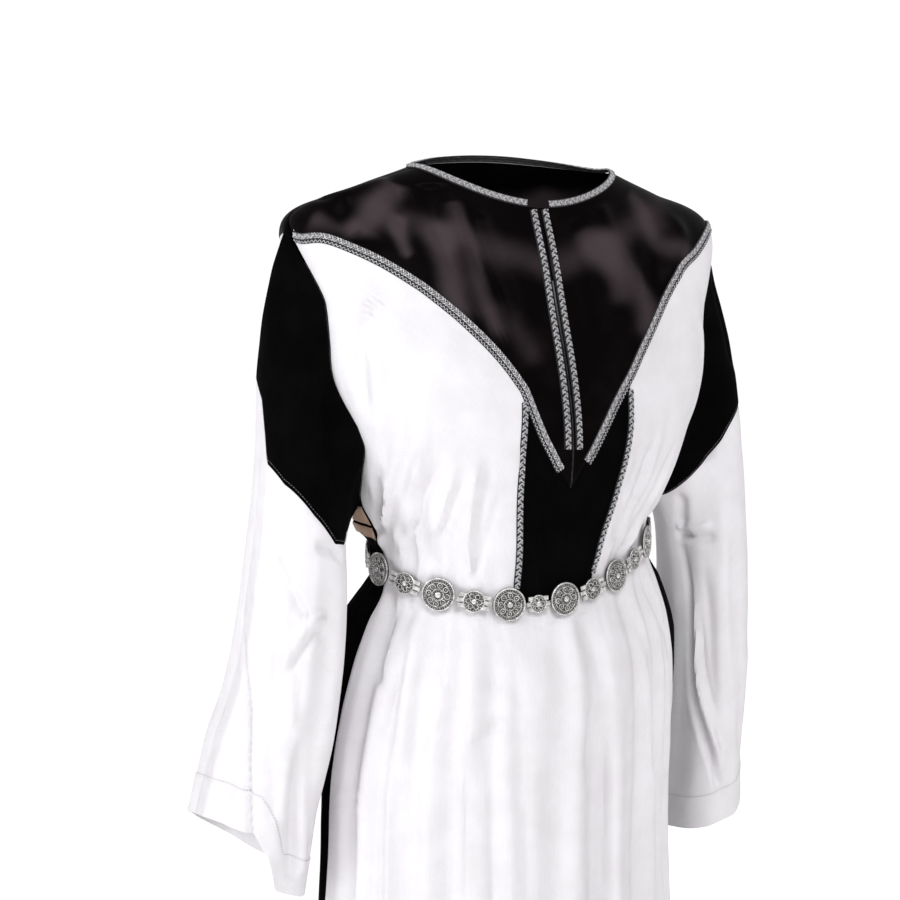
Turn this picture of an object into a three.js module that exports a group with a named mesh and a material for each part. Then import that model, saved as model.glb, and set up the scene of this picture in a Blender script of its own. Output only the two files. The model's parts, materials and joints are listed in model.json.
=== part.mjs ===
// A long woven thobe in its worn, hollow form: white cotton with a black satin V yoke, black upper
// sleeves, black side gores, silver braids and a belt of linked silver medallions.
// Millimetres, +Z up. The wearer faces -Y, and the wearer's right side is at -X.
// The origin is the centre of the neck, level with the points where neck and shoulder meet.
import * as THREE from 'three';

const DEG = Math.PI / 180;

// ---- Driving sizes ----
const CLOTH = 1.6;            // wall of a cotton or satin piece
const BRAID = 1.2;            // thickness of a braid or a patch
const SEAM_GAP = 0.3;         // between two pieces that are sewn edge to edge
const SLEEVE_GAP = 0.6;       // between the armhole and the sleeve set into it
const LIFT = 0.5;             // a laid-on piece above its panel
const NECK_BRAID_WIDTH = 8;
const YOKE_BRAID_WIDTH = 10;
const YOKE_BRAID_END = 0.97;  // the column where the yoke's braid stops, short of the armhole
const SLIT_BRAID_WIDTH = 8;
const SLIT_BRAID_EDGE = 2.5;  // from the slit to its braid
const SLIT_BRAID_LEVELS = [0.04, 0.5, 1, 1.6, 2.2, 2.8, 3.4, 3.8, 4.1];
const NECK_BRAID_START = { right: 0.17, left: 0.1 }; // columns that clear the slit's braids
const INSET_BRAID_WIDTH = 7;
const SLIT_COLUMN = 0.006;    // half of the slit between the two yoke halves, as a column
const BELT_CLEAR = 0.5;       // back of a medallion above the cloth's highest place behind it
const BIG_RADIUS = 16.5;
const SMALL_RADIUS = 11;
const CLASP_RADIUS = 9;
const LINK_HALF_HEIGHT = 7.5;
const LINK_CHAMFER = 3.5;     // cut off each corner of a link where it meets a medallion
const LINK_THICKNESS = 2.4;
const BELT_JOINT_GAP = 0.8;
const CLASP_PITCH = 58;       // between the two medallions of the clasp
const BIG_COUNT = 12;

// ---- The body, one row for each level from the neck to the hem ----
// halfWidth, front and back are half sizes about centreY; power is the roundness of the ring.
// sideZ, frontZ and backZ are the ring's heights. frontEdge and backEdge are the angles, from the
// centre front and the centre back, where the front and back pieces end: at the shoulder seam,
// then round the armhole, then at the side gore. insetRight and insetLeft are the angles of the
// black inset's sides, which the columns of the skirt below it keep to. turn is how far the centre
// front has swung, in degrees, and tilt how far the ring drops towards the wearer's right and
// rises to the left. centreX is the ring's shift to the wearer's left,
// and leftEarly how much sooner the front piece ends on that side.
const RINGS = [
  { level: 'neck', halfWidth: 113, centreX: 0, centreY: -16, front: 58, back: 58, power: 2.2,
    sideZ: 0, frontZ: -38, backZ: 10, frontEdge: 90, backEdge: 90, insetRight: 13, insetLeft: 18,
    turn: -3, tilt: 0, leftEarly: 0 },
  { level: 'collar', halfWidth: 172, centreX: 0, centreY: -8, front: 80, back: 76, power: 2.1,
    sideZ: -20, frontZ: -88, backZ: -38, frontEdge: 90, backEdge: 90, insetRight: 13, insetLeft: 18,
    turn: -0.9, tilt: 0, leftEarly: 0 },
  { level: 'shoulder', halfWidth: 236, centreX: 0, centreY: 0, front: 100, back: 96, power: 2.4,
    sideZ: -47, frontZ: -142, backZ: -105, frontEdge: 90, backEdge: 90, insetRight: 13, insetLeft: 18.5,
    turn: 0.3, tilt: 0, leftEarly: 0 },
  { level: 'chest', halfWidth: 224, centreX: 0, centreY: 0, front: 112, back: 104, power: 2.4,
    sideZ: -118, frontZ: -205, backZ: -178, frontEdge: 71, backEdge: 70, insetRight: 12.5, insetLeft: 19,
    turn: 1.3, tilt: 0, leftEarly: 0 },
  { level: 'breast', halfWidth: 217, centreX: 0, centreY: -2, front: 119, back: 106, power: 2.3,
    sideZ: -190, frontZ: -262, backZ: -240, frontEdge: 72, backEdge: 70, insetRight: 14, insetLeft: 18.5,
    turn: 1.3, tilt: 0, leftEarly: 0 },
  { level: 'rib', halfWidth: 196, centreX: 0, centreY: -4, front: 119, back: 106, power: 2.2,
    sideZ: -252, frontZ: -312, backZ: -290, frontEdge: 67, backEdge: 67, insetRight: 16, insetLeft: 16.5,
    turn: 0.5, tilt: 0, leftEarly: 0 },
  { level: 'underarm', halfWidth: 172, centreX: 0, centreY: -8, front: 113, back: 105, power: 2.0,
    sideZ: -315, frontZ: -350, backZ: -328, frontEdge: 84, backEdge: 84, insetRight: 17.5, insetLeft: 14.5,
    turn: 0, tilt: 3, leftEarly: 0 },
  { level: 'blouse', halfWidth: 158, centreX: 0, centreY: -12, front: 105, back: 103, power: 2.0,
    sideZ: -338, frontZ: -376, backZ: -351, frontEdge: 85, backEdge: 72, insetRight: 18.5, insetLeft: 14,
    turn: 0, tilt: 9, leftEarly: 0 },
  { level: 'beltTop', halfWidth: 151, centreX: 0, centreY: -14, front: 99, back: 99, power: 2.0,
    sideZ: -357, frontZ: -397, backZ: -369, frontEdge: 85, backEdge: 64, insetRight: 19, insetLeft: 14,
    turn: 0, tilt: 20, leftEarly: 6 },
  { level: 'beltBottom', halfWidth: 151, centreX: 0, centreY: -14, front: 99, back: 99, power: 2.0,
    sideZ: -392, frontZ: -432, backZ: -404, frontEdge: 85, backEdge: 64, insetRight: 19, insetLeft: 14,
    turn: 0, tilt: 20, leftEarly: 10 },
  { level: 'hip', halfWidth: 175, centreX: -2, centreY: -18, front: 118, back: 112, power: 2.0,
    sideZ: -470, frontZ: -498, backZ: -478, frontEdge: 92, backEdge: 62, insetRight: 19, insetLeft: 15,
    turn: 0, tilt: 8, leftEarly: 22 },
  { level: 'thigh', halfWidth: 188, centreX: -5, centreY: -8, front: 126, back: 122, power: 2.0,
    sideZ: -575, frontZ: -592, backZ: -580, frontEdge: 96, backEdge: 62, insetRight: 19, insetLeft: 16,
    turn: 0, tilt: 2, leftEarly: 22 },
  { level: 'skirt', halfWidth: 191, centreX: -8, centreY: -4, front: 132, back: 128, power: 2.0,
    sideZ: -700, frontZ: -708, backZ: -702, frontEdge: 97, backEdge: 62, insetRight: 18, insetLeft: 17,
    turn: 0, tilt: 0, leftEarly: 18 },
  { level: 'knee', halfWidth: 207, centreX: -8, centreY: 0, front: 146, back: 142, power: 2.0,
    sideZ: -960, frontZ: -962, backZ: -960, frontEdge: 96, backEdge: 62, insetRight: 18, insetLeft: 18,
    turn: 0, tilt: 0, leftEarly: 14 },
  { level: 'hem', halfWidth: 240, centreX: -8, centreY: 0, front: 172, back: 168, power: 2.0,
    sideZ: -1350, frontZ: -1350, backZ: -1350, frontEdge: 96, backEdge: 60, insetRight: 18, insetLeft: 18,
    turn: 0, tilt: 0, leftEarly: 12 },
];
const LEVEL = Object.fromEntries(RINGS.map((row, index) => [row.level, index]));
const BELT_LEVEL = (LEVEL.beltTop + LEVEL.beltBottom) / 2;

// ---- Folds of the cloth, troughs pressed inwards ----
// belt and hem are the fold's angle from the centre front at those levels, width its half width in
// degrees, above and below its depth just above the belt and at the hem.
const FOLDS = [
  { belt: -91, hem: -105, width: 5, above: 0, below: 12 },
  { belt: -78, hem: -79, width: 6, above: 5, below: 12 },
  { belt: -66, hem: -65, width: 6, above: 4, below: 14 },
  { belt: -54, hem: -51, width: 7, above: 6, below: 13 },
  { belt: -42, hem: -36, width: 6, above: 5, below: 12 },
  { belt: -31, hem: -22, width: 7, above: 4, below: 16 },
  { belt: -4, hem: -5, width: 8, above: 0, below: 11 },
  { belt: 9, hem: 13, width: 7, above: 0, below: 17 },
  { belt: 31, hem: 31, width: 7, above: 5, below: 13 },
  { belt: 44, hem: 47, width: 7, above: 6, below: 15 },
  { belt: 53, hem: 57, width: 5, above: 4, below: 12 },
  { belt: 64, hem: 68, width: 5, above: 5, below: 14 },
  { belt: 91, hem: 105, width: 5, above: 0, below: 12 },
  { belt: 127, hem: 132, width: 7, above: 5, below: 13 },
  { belt: 138, hem: 146, width: 7, above: 6, below: 16 },
  { belt: 149, hem: 158, width: 7, above: 4, below: 12 },
  { belt: 161, hem: 168, width: 7, above: 6, below: 17 },
  { belt: 172, hem: 179, width: 7, above: 4, below: 13 },
  { belt: 184, hem: 190, width: 7, above: 5, below: 16 },
  { belt: 200, hem: 202, width: 7, above: 6, below: 12 },
  { belt: 215, hem: 213, width: 7, above: 4, below: 15 },
  { belt: 226, hem: 222, width: 6, above: 6, below: 13 },
  { belt: 236, hem: 231, width: 6, above: 5, below: 15 },
];
// Where the loose side gores stand out between the belt and the hips: height at each level.
const FINS = [
  { angle: -106, width: 24, heights: [
    { level: 6, height: 0 }, { level: 6.5, height: 2 }, { level: 7, height: 8 },
    { level: 7.5, height: 8 }, { level: 8, height: 0 }, { level: 9, height: 0 },
    { level: 9.4, height: 15 }, { level: 10, height: 13 }, { level: 10.6, height: 7 },
    { level: 11.2, height: 3 }, { level: 12, height: 0 }] },
  { angle: 88, width: 22, heights: [
    { level: 9, height: 0 }, { level: 9.4, height: 14 }, { level: 10, height: 17 },
    { level: 10.6, height: 10 }, { level: 11.2, height: 4 }, { level: 12, height: 0 }] },
];
const FOLD_AT_BELT = 2.6;     // every fold's depth under the belt
const TILT_END = 0.6;         // the tilt is gone past the sides, where the angle's cosine is -0.6
const FOLD_TOP = 4.6;         // level where the folds above the belt have run out

// ---- The sleeve, one row for each ring from the armhole to the cuff ----
// The ring runs from an outer point to an inner point, and is halfDepth deep to front and back.
// The right sleeve hangs wider by spread, and the left one's inner point stands out by clear.
const SLEEVE_RINGS = [
  { outerX: 236, outerZ: -47, innerX: 172, innerZ: -315, centreY: -4, halfDepth: 42, spread: 0,
    clear: 0 },
  { outerX: 255, outerZ: -105, innerX: 181, innerZ: -337, centreY: -4, halfDepth: 44, spread: 0,
    clear: 0 },
  { outerX: 267, outerZ: -180, innerX: 187, innerZ: -372, centreY: -7, halfDepth: 50, spread: 0,
    clear: 4 },
  { outerX: 271, outerZ: -275, innerX: 190, innerZ: -425, centreY: -11, halfDepth: 57, spread: 0,
    clear: 8 },
  { outerX: 279, outerZ: -380, innerX: 193, innerZ: -485, centreY: -5, halfDepth: 65, spread: 2,
    clear: 9 },
  { outerX: 287, outerZ: -480, innerX: 198, innerZ: -550, centreY: 8, halfDepth: 71, spread: 5,
    clear: 8 },
  { outerX: 296, outerZ: -550, innerX: 205, innerZ: -612, centreY: 26, halfDepth: 75, spread: 11,
    clear: 6 },
  { outerX: 302, outerZ: -607, innerX: 208, innerZ: -664, centreY: 38, halfDepth: 77, spread: 15,
    clear: 4 },
  { outerX: 309, outerZ: -662, innerX: 212, innerZ: -716, centreY: 49, halfDepth: 79, spread: 18,
    clear: 4 },
];
const SLEEVE_END = SLEEVE_RINGS.length - 1;
const ARMHOLE_FADE = 2.4;     // rings over which the sleeve leaves the armhole's own shape
// Where black cloth turns to white: turn is the place round the sleeve (0 outer, 0.25 front,
// 0.5 inner, 0.75 back) and ring the place down it, for each side of the garment.
const SLEEVE_JOIN = {
  right: [
    { turn: 0.00, ring: 2.45 }, { turn: 0.03, ring: 3.00 }, { turn: 0.10, ring: 3.05 },
    { turn: 0.20, ring: 2.95 }, { turn: 0.29, ring: 2.75 }, { turn: 0.36, ring: 2.30 },
    { turn: 0.50, ring: 0.90 }, { turn: 0.64, ring: 0.95 }, { turn: 0.80, ring: 1.55 },
    { turn: 1.00, ring: 2.45 },
  ],
  left: [
    { turn: 0.00, ring: 2.55 }, { turn: 0.12, ring: 2.40 }, { turn: 0.25, ring: 1.95 },
    { turn: 0.37, ring: 1.35 }, { turn: 0.50, ring: 0.75 }, { turn: 0.64, ring: 0.95 },
    { turn: 0.80, ring: 1.75 }, { turn: 1.00, ring: 2.55 },
  ],
};
// The cuff's edge: ring at each turn. It hangs lower in front, and the right one has a step.
const SLEEVE_CUFF = {
  right: [
    { turn: 0.00, ring: 7.15 }, { turn: 0.10, ring: 7.10 }, { turn: 0.17, ring: 7.05 },
    { turn: 0.215, ring: 7.35 }, { turn: 0.25, ring: 7.85 }, { turn: 0.35, ring: 7.80 },
    { turn: 0.50, ring: 7.55 }, { turn: 0.70, ring: 7.35 }, { turn: 0.90, ring: 7.20 },
    { turn: 1.00, ring: 7.15 },
  ],
  left: [
    { turn: 0.00, ring: 7.50 }, { turn: 0.12, ring: 7.75 }, { turn: 0.22, ring: 7.85 },
    { turn: 0.35, ring: 7.70 }, { turn: 0.50, ring: 7.50 }, { turn: 0.75, ring: 7.35 },
    { turn: 1.00, ring: 7.50 },
  ],
};
const SLEEVE_FOLDS = [
  { turn: 0.08, from: 3.6, to: 7, depth: 5, width: 0.05 },
  { turn: 0.27, from: 2.6, to: 6.2, depth: 5, width: 0.06 },
  { turn: 0.43, from: 1.2, to: 7, depth: 7, width: 0.06 },
  { turn: 0.66, from: 1.6, to: 7, depth: 6, width: 0.06 },
  { turn: 0.85, from: 3.2, to: 7, depth: 5, width: 0.05 },
];

// ---- Outlines of the front pieces, by column ----
// column is 0 at the centre front, 0.3 at the inset's side and 1 at the armhole or side seam. The
// yoke's edge is a level for each column on the wearer's right and left.
const INSET_COLUMN = 0.3;
const YOKE_EDGE = [
  { column: 0.00, right: 4.85, left: 4.85 }, { column: 0.10, right: 4.35, left: 4.20 },
  { column: 0.18, right: 3.92, left: 3.67 }, { column: 0.25, right: 3.48, left: 3.31 },
  { column: 0.31, right: 3.06, left: 3.04 }, { column: 0.37, right: 2.60, left: 2.63 },
  { column: 0.43, right: 2.24, left: 2.17 }, { column: 0.50, right: 2.02, left: 1.88 },
  { column: 0.60, right: 1.93, left: 1.86 }, { column: 0.74, right: 2.01, left: 1.88 },
  { column: 0.89, right: 2.24, left: 2.02 }, { column: 1.00, right: 2.30, left: 2.12 },
];
const BACK_YOKE_LEVEL = 2.25;
const INNER_COLUMNS = 4;
const OUTER_COLUMNS = 12;
const BACK_COLUMNS = 24;
const YOKE_ROWS = [0, 0.16, 0.36, 0.56, 0.74];
const BODICE_ROWS = 7;
const WAIST_LEVELS = [6.5, 7, 7.5, 8, BELT_LEVEL];
const SKIRT_LEVELS = [9, 9.4, 10, 10.6, 11.2, 12, 12.6, 13.2, 14];
const GORE_COLUMNS = 6;
const UPPER_ROWS = 5;
const LOWER_ROWS = 8;
const SLEEVE_STEP = 1 / 22;   // widest column of a sleeve, as a share of its way round

const PATCH_EDGE = 1;         // from the gore's seam to the side of the patch on it
const PATCHES = [
  { side: 'right', sign: -1, name: 'upper', levels: [6.15, 6.5, 6.88] },
  { side: 'right', sign: -1, name: 'lower', levels: [7.02, 7.26, 7.5] },
  { side: 'left', sign: 1, name: 'upper', levels: [6.15, 6.5, 6.9] },
];

// ---- Belt pieces ----
// A large medallion's half section, from its flat back round its rim to the boss in the middle.
const BIG_SIDES = 16;
const BIG_PROFILE = [
  { radius: 0, rise: 0 }, { radius: BIG_RADIUS, rise: 0 }, { radius: BIG_RADIUS, rise: 1.8 },
  { radius: 10, rise: 3.4 }, { radius: 0, rise: 5.2 },
];

// ---- Small helpers ----
const mix = (a, b, share) => a + (b - a) * share;
const clamp01 = (x) => Math.min(1, Math.max(0, x));
const smooth = (x) => clamp01(x) ** 2 * (3 - 2 * clamp01(x));

// A column of a table, read smoothly at a place between its rows.
function along(rows, key, place) {
  const last = rows.length - 1;
  const index = Math.min(last - 1, Math.max(0, Math.floor(place)));
  const f = place - index;
  const p1 = rows[index][key];
  const p2 = rows[index + 1][key];
  const p0 = index > 0 ? rows[index - 1][key] : 2 * p1 - p2;
  const p3 = index + 2 <= last ? rows[index + 2][key] : 2 * p2 - p1;
  const cubic = -p0 + 3 * p1 - 3 * p2 + p3;
  const square = 2 * p0 - 5 * p1 + 4 * p2 - p3;
  return p1 + 0.5 * f * (p2 - p0 + f * (square + f * cubic));
}

// The same, kept between the two rows next to the place.
function between(rows, key, place) {
  const index = Math.min(rows.length - 2, Math.max(0, Math.floor(place)));
  const ends = [rows[index][key], rows[index + 1][key]];
  return Math.min(Math.max(...ends), Math.max(Math.min(...ends), along(rows, key, place)));
}

// The angle where the front piece ends on one side.
function frontEdge(side, level) {
  return between(RINGS, 'frontEdge', level) - (side > 0 ? between(RINGS, 'leftEarly', level) : 0);
}

// A table read in straight steps: the value of one column where another has the given place.
function stepped(rows, xKey, yKey, x) {
  let index = 0;
  while (index < rows.length - 2 && x > rows[index + 1][xKey]) index += 1;
  const share = clamp01((x - rows[index][xKey]) / (rows[index + 1][xKey] - rows[index][xKey]));
  return mix(rows[index][yKey], rows[index + 1][yKey], share);
}

// ---- The body's surface ----
function foldDepth(angle, level) {
  const down = clamp01((level - LEVEL.beltBottom) / (LEVEL.hem - LEVEL.beltBottom));
  const up = clamp01((LEVEL.beltTop - level) / (LEVEL.beltTop - FOLD_TOP));
  let depth = 0;
  for (const fold of FOLDS) {
    let away = angle - mix(fold.belt, fold.hem, down);
    away -= 360 * Math.round(away / 360);
    if (Math.abs(away) < fold.width) {
      const shape = 0.5 + 0.5 * Math.cos(Math.PI * away / fold.width);
      const size = down > 0
        ? mix(FOLD_AT_BELT, fold.below, Math.sqrt(down))
        : mix(FOLD_AT_BELT, fold.above, smooth(up * 4)) * (1 - smooth(up));
      depth += size * shape * (fold.above > 0 || down > 0 ? 1 : 0.2);
    }
  }
  return depth;
}

function finHeight(angle, level) {
  return FINS.reduce((height, fin) => {
    const away = angle - fin.angle - 360 * Math.round((angle - fin.angle) / 360);
    if (Math.abs(away) >= fin.width) return height;
    const shape = 0.5 + 0.5 * Math.cos(Math.PI * away / fin.width);
    return height + shape * stepped(fin.heights, 'level', 'height', level);
  }, 0);
}

function bodyPoint(angle, level, folded = true) {
  const row = (key) => along(RINGS, key, level);
  const sin = Math.sin(angle * DEG);
  const cos = Math.cos(angle * DEG);
  const power = row('power');
  const swell = (Math.abs(sin) ** power + Math.abs(cos) ** power) ** (-1 / power);
  const depth = row(cos > 0 ? 'front' : 'back');
  const sideZ = row('sideZ');
  const endZ = row(cos > 0 ? 'frontZ' : 'backZ');
  const reach = new THREE.Vector2(row('halfWidth') * swell * sin, -depth * swell * cos);
  if (folded) {
    reach.setLength(reach.length() - foldDepth(angle, level) + finHeight(angle, level));
  }
  const tilt = row('tilt') * sin * smooth((cos + TILT_END) / (2 * TILT_END));
  const z = mix(sideZ, endZ, cos ** 2) + tilt;
  return new THREE.Vector3(row('centreX') + reach.x, row('centreY') + reach.y, z);
}

// Steps of angle and level between the points that a surface's normal is worked out from.
const PROBE = { angle: 0.4, level: 0.02 };

function bodySpot(angle, level) {
  const across = bodyPoint(angle + PROBE.angle, level).sub(bodyPoint(angle - PROBE.angle, level));
  const down = bodyPoint(angle, level + PROBE.level);
  down.sub(bodyPoint(angle, Math.max(0, level - PROBE.level)));
  return { point: bodyPoint(angle, level), normal: down.cross(across).normalize() };
}

// ---- A sheet of spots made into one closed wall ----
function sheetWall(rows, { wrap = false, missing = () => false, thickness = CLOTH } = {}) {
  const columns = rows[0].length;
  const cells = wrap ? columns : columns - 1;
  const has = (j, i) => {
    if (j < 0 || j >= rows.length - 1) return false;
    if (!wrap && (i < 0 || i >= cells)) return false;
    return !missing(j, (i + columns) % columns);
  };
  const positions = [];
  const known = new Map();
  const vertex = (j, i, inner) => {
    const key = `${j},${i % columns},${inner}`;
    if (!known.has(key)) {
      const spot = rows[j][i % columns];
      const place = spot.point.clone().addScaledVector(spot.normal, inner ? -thickness : 0);
      known.set(key, positions.length / 3);
      positions.push(place.x, place.y, place.z);
    }
    return known.get(key);
  };
  const index = [];
  for (let j = 0; j < rows.length - 1; j += 1) {
    for (let i = 0; i < cells; i += 1) {
      if (!has(j, i)) continue;
      const corners = [[j, i], [j + 1, i], [j + 1, i + 1], [j, i + 1]];
      const neighbours = [has(j, i - 1), has(j + 1, i), has(j, i + 1), has(j - 1, i)];
      const outer = corners.map(([a, b]) => vertex(a, b, false));
      const inner = corners.map(([a, b]) => vertex(a, b, true));
      index.push(outer[0], outer[1], outer[2], outer[0], outer[2], outer[3]);
      index.push(inner[0], inner[2], inner[1], inner[0], inner[3], inner[2]);
      neighbours.forEach((joined, side) => {
        if (joined) return;
        const next = (side + 1) % 4;
        index.push(outer[next], outer[side], inner[side]);
        index.push(outer[next], inner[side], inner[next]);
      });
    }
  }
  const geometry = new THREE.BufferGeometry();
  geometry.setAttribute('position', new THREE.Float32BufferAttribute(positions, 3));
  geometry.setIndex(facingOut(positions, index));
  return geometry;
}

// Triangles are turned round where the closed form's volume comes out negative.
function facingOut(positions, index) {
  const corner = (k) => new THREE.Vector3().fromArray(positions, index[k] * 3);
  let volume = 0;
  for (let k = 0; k < index.length; k += 3) {
    volume += corner(k).dot(corner(k + 1).cross(corner(k + 2)));
  }
  return volume > 0 ? index : index.slice().reverse();
}

// The outermost spots of a sheet are drawn back from the seam, square to it and along the sheet.
function drawBack(rows, sides, distance = SEAM_GAP / 2, wrap = false) {
  const last = rows.length - 1;
  const end = rows[0].length - 1;
  const column = (i) => (wrap ? (i + end + 1) % (end + 1) : Math.min(end, Math.max(0, i)));
  const at = (j, i) => rows[Math.min(last, Math.max(0, j))][column(i)].point;
  const step = (j, i, down, across) => {
    const run = at(j + across, i + down).clone().sub(at(j - across, i - down)).normalize();
    const way = at(j + down, i + across).clone().sub(at(j, i));
    return way.addScaledVector(run, -way.dot(run)).setLength(distance);
  };
  return rows.map((row, j) => row.map((spot, i) => {
    const point = spot.point.clone();
    if (j === 0 && sides.includes('top')) point.add(step(j, i, 1, 0));
    if (j === last && sides.includes('bottom')) point.add(step(j, i, -1, 0));
    if (i === 0 && sides.includes('start')) point.add(step(j, i, 0, 1));
    if (i === end && sides.includes('end')) point.add(step(j, i, 0, -1));
    return { point, normal: spot.normal };
  }));
}

// ---- Columns of the front, shared by yoke, inset, bodice and skirt ----
const FRONT_COLUMNS = [
  ...Array.from({ length: INNER_COLUMNS }, (_, i) => INSET_COLUMN * i / INNER_COLUMNS),
  ...Array.from({ length: OUTER_COLUMNS + 1 },
    (_, i) => mix(INSET_COLUMN, 1, i / OUTER_COLUMNS)),
];
const WHOLE_FRONT = [...FRONT_COLUMNS.slice(1).reverse().map((c) => -c), ...FRONT_COLUMNS];

function frontAngle(column, level) {
  const size = Math.abs(column);
  const edge = frontEdge(column, level);
  const inset = along(RINGS, column < 0 ? 'insetRight' : 'insetLeft', level);
  const angle = size < INSET_COLUMN
    ? inset * size / INSET_COLUMN
    : mix(inset, edge, (size - INSET_COLUMN) / (1 - INSET_COLUMN));
  return Math.sign(column) * angle + along(RINGS, 'turn', level) * (1 - size);
}

const YOKE_PLACES = YOKE_EDGE.map(({ column }, place) => ({ column, place }));

function yokeEdge(column) {
  const place = stepped(YOKE_PLACES, 'column', 'place', Math.abs(column));
  return along(YOKE_EDGE, column < 0 ? 'right' : 'left', place);
}

const frontSpot = (column, level) => bodySpot(frontAngle(column, level), level);

// Bodice rows run from the yoke's edge to the underarm, then level by level to the hem.
function frontRows(columns) {
  const bodice = Array.from({ length: BODICE_ROWS + 1 }, (_, j) => columns.map(
    (column) => frontSpot(column, mix(yokeEdge(column), LEVEL.underarm, j / BODICE_ROWS)),
  ));
  const lower = [...WAIST_LEVELS, ...SKIRT_LEVELS].map(
    (level) => columns.map((column) => frontSpot(column, level)),
  );
  return [...bodice, ...lower];
}
const BELT_ROW = BODICE_ROWS + WAIST_LEVELS.length;

// Rows of a yoke as shares of its depth. One of them passes through the shoulder's tip.
function yokeShares(edge) {
  const tip = LEVEL.shoulder / edge;
  return [...YOKE_ROWS, tip, (tip + 1) / 2, 1];
}

// Each half of the yoke stops just short of the centre, where its point meets the other half's.
function yokeRows(side) {
  const columns = FRONT_COLUMNS.map((c) => side * c);
  const slitShare = SLIT_COLUMN / FRONT_COLUMNS[1];
  const slitEnd = mix(yokeEdge(0), yokeEdge(columns[1]), slitShare);
  return yokeShares(yokeEdge(side)).map((share) => columns.map((column, i) => {
    const level = share * (i ? yokeEdge(column) : slitEnd);
    return frontSpot(i ? column : side * SLIT_COLUMN, level);
  }));
}

function backSpot(column, level) {
  const edge = between(RINGS, 'backEdge', level);
  return bodySpot(180 - column * edge, level);
}
const BACK = Array.from({ length: BACK_COLUMNS + 1 }, (_, i) => mix(1, -1, i / BACK_COLUMNS));

// ---- The sleeve's surface ----
// The armhole's edge, from the shoulder tip down the front or back to the middle of the underarm,
// in the same spots as the pieces that end there.
function armholeEdge(side, face) {
  const isFront = face === 'front';
  const edgeSpot = isFront ? frontSpot : backSpot;
  const top = isFront ? yokeEdge(side) : BACK_YOKE_LEVEL;
  const levels = [LEVEL.shoulder, mix(LEVEL.shoulder, top, 0.5)];
  for (let j = 0; j <= BODICE_ROWS; j += 1) levels.push(mix(top, LEVEL.underarm, j / BODICE_ROWS));
  const spots = levels.map((level) => edgeSpot(side, level));
  const gore = goreRows(side, [LEVEL.underarm])[0];
  return [...spots, gore[isFront ? 1 : GORE_COLUMNS - 1], bodySpot(side * 90, LEVEL.underarm)];
}

// The whole seam as spots with their turn: 0 at the shoulder tip, 0.5 at the underarm, 1 again at
// the tip.
function armholeSeam(side) {
  const front = armholeEdge(side, 'front');
  const back = armholeEdge(side, 'back');
  const top = front[0].point;
  const axis = front.at(-1).point.clone().sub(top);
  const turnOf = ({ point }) => {
    const height = clamp01(point.clone().sub(top).dot(axis) / axis.lengthSq());
    return Math.acos(1 - 2 * height) / (2 * Math.PI);
  };
  const down = front.map((spot) => ({ ...spot, turn: turnOf(spot) }));
  const up = back.slice(0, -1).reverse().map((spot) => ({ ...spot, turn: 1 - turnOf(spot) }));
  return [...down, ...up];
}

// The seam's turns, with more between those that lie far apart.
function sleeveTurns(seam) {
  return seam.slice(0, -1).flatMap(({ turn }, k) => {
    const width = seam[k + 1].turn - turn;
    const count = Math.ceil(width / SLEEVE_STEP);
    return Array.from({ length: count }, (_, i) => turn + width * i / count);
  });
}

function sleeveRingPoint(side, turn, ring) {
  const row = (key) => along(SLEEVE_RINGS, key, ring);
  const out = Math.cos(2 * Math.PI * turn);
  const fore = Math.sin(2 * Math.PI * turn);
  const outerX = row('outerX') + (side < 0 ? row('spread') : 0);
  const innerX = row('innerX') + (side > 0 ? row('clear') : 0);
  const halfX = (outerX - innerX) / 2;
  const halfZ = (row('outerZ') - row('innerZ')) / 2;
  let squeeze = 0;
  for (const fold of SLEEVE_FOLDS) {
    let away = turn - fold.turn;
    away -= Math.round(away);
    const shape = Math.abs(away) < fold.width ? 0.5 + 0.5 * Math.cos(Math.PI * away / fold.width) : 0;
    const run = smooth((ring - fold.from) / 1.5);
    squeeze += fold.depth * shape * run * (ring < fold.to ? 1 : 0.6);
  }
  const spread = 1 - squeeze / row('halfDepth');
  return new THREE.Vector3(
    side * (outerX - halfX + halfX * out * spread),
    row('centreY') - row('halfDepth') * fore * spread,
    row('outerZ') - halfZ + halfZ * out,
  );
}

// A sleeve's rows. Its first row takes the body's own normal where the two cloths run on.
function sleeveRows(side, ringAt, rowCount) {
  const seam = armholeSeam(side);
  const onSeam = (turn) => {
    let k = 0;
    while (k < seam.length - 2 && seam[k + 1].turn < turn) k += 1;
    const share = clamp01((turn - seam[k].turn) / (seam[k + 1].turn - seam[k].turn));
    return {
      point: seam[k].point.clone().lerp(seam[k + 1].point, share),
      normal: seam[k].normal.clone().lerp(seam[k + 1].normal, share),
    };
  };
  const surface = (turn, ring) => {
    const round = turn - Math.floor(turn);
    const point = sleeveRingPoint(side, round, ring);
    const away = onSeam(round).point.sub(sleeveRingPoint(side, round, 0));
    return point.addScaledVector(away, 1 - smooth(ring / ARMHOLE_FADE));
  };
  const step = 0.01;
  const spotAt = (turn, ring) => {
    const round = surface(turn + step, ring).sub(surface(turn - step, ring));
    const down = surface(turn, Math.min(SLEEVE_END, ring + step));
    down.sub(surface(turn, Math.max(0, ring - step)));
    const normal = round.cross(down).normalize().multiplyScalar(side);
    if (ring === 0) {
      const bodyNormal = onSeam(turn).normal;
      normal.lerp(bodyNormal, smooth(normal.dot(bodyNormal) / 0.2)).normalize();
    }
    return { point: surface(turn, ring), normal };
  };
  return Array.from({ length: rowCount + 1 }, (_, j) => sleeveTurns(seam).map(
    (turn) => spotAt(turn, ringAt(turn, j / rowCount)),
  ));
}

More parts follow.
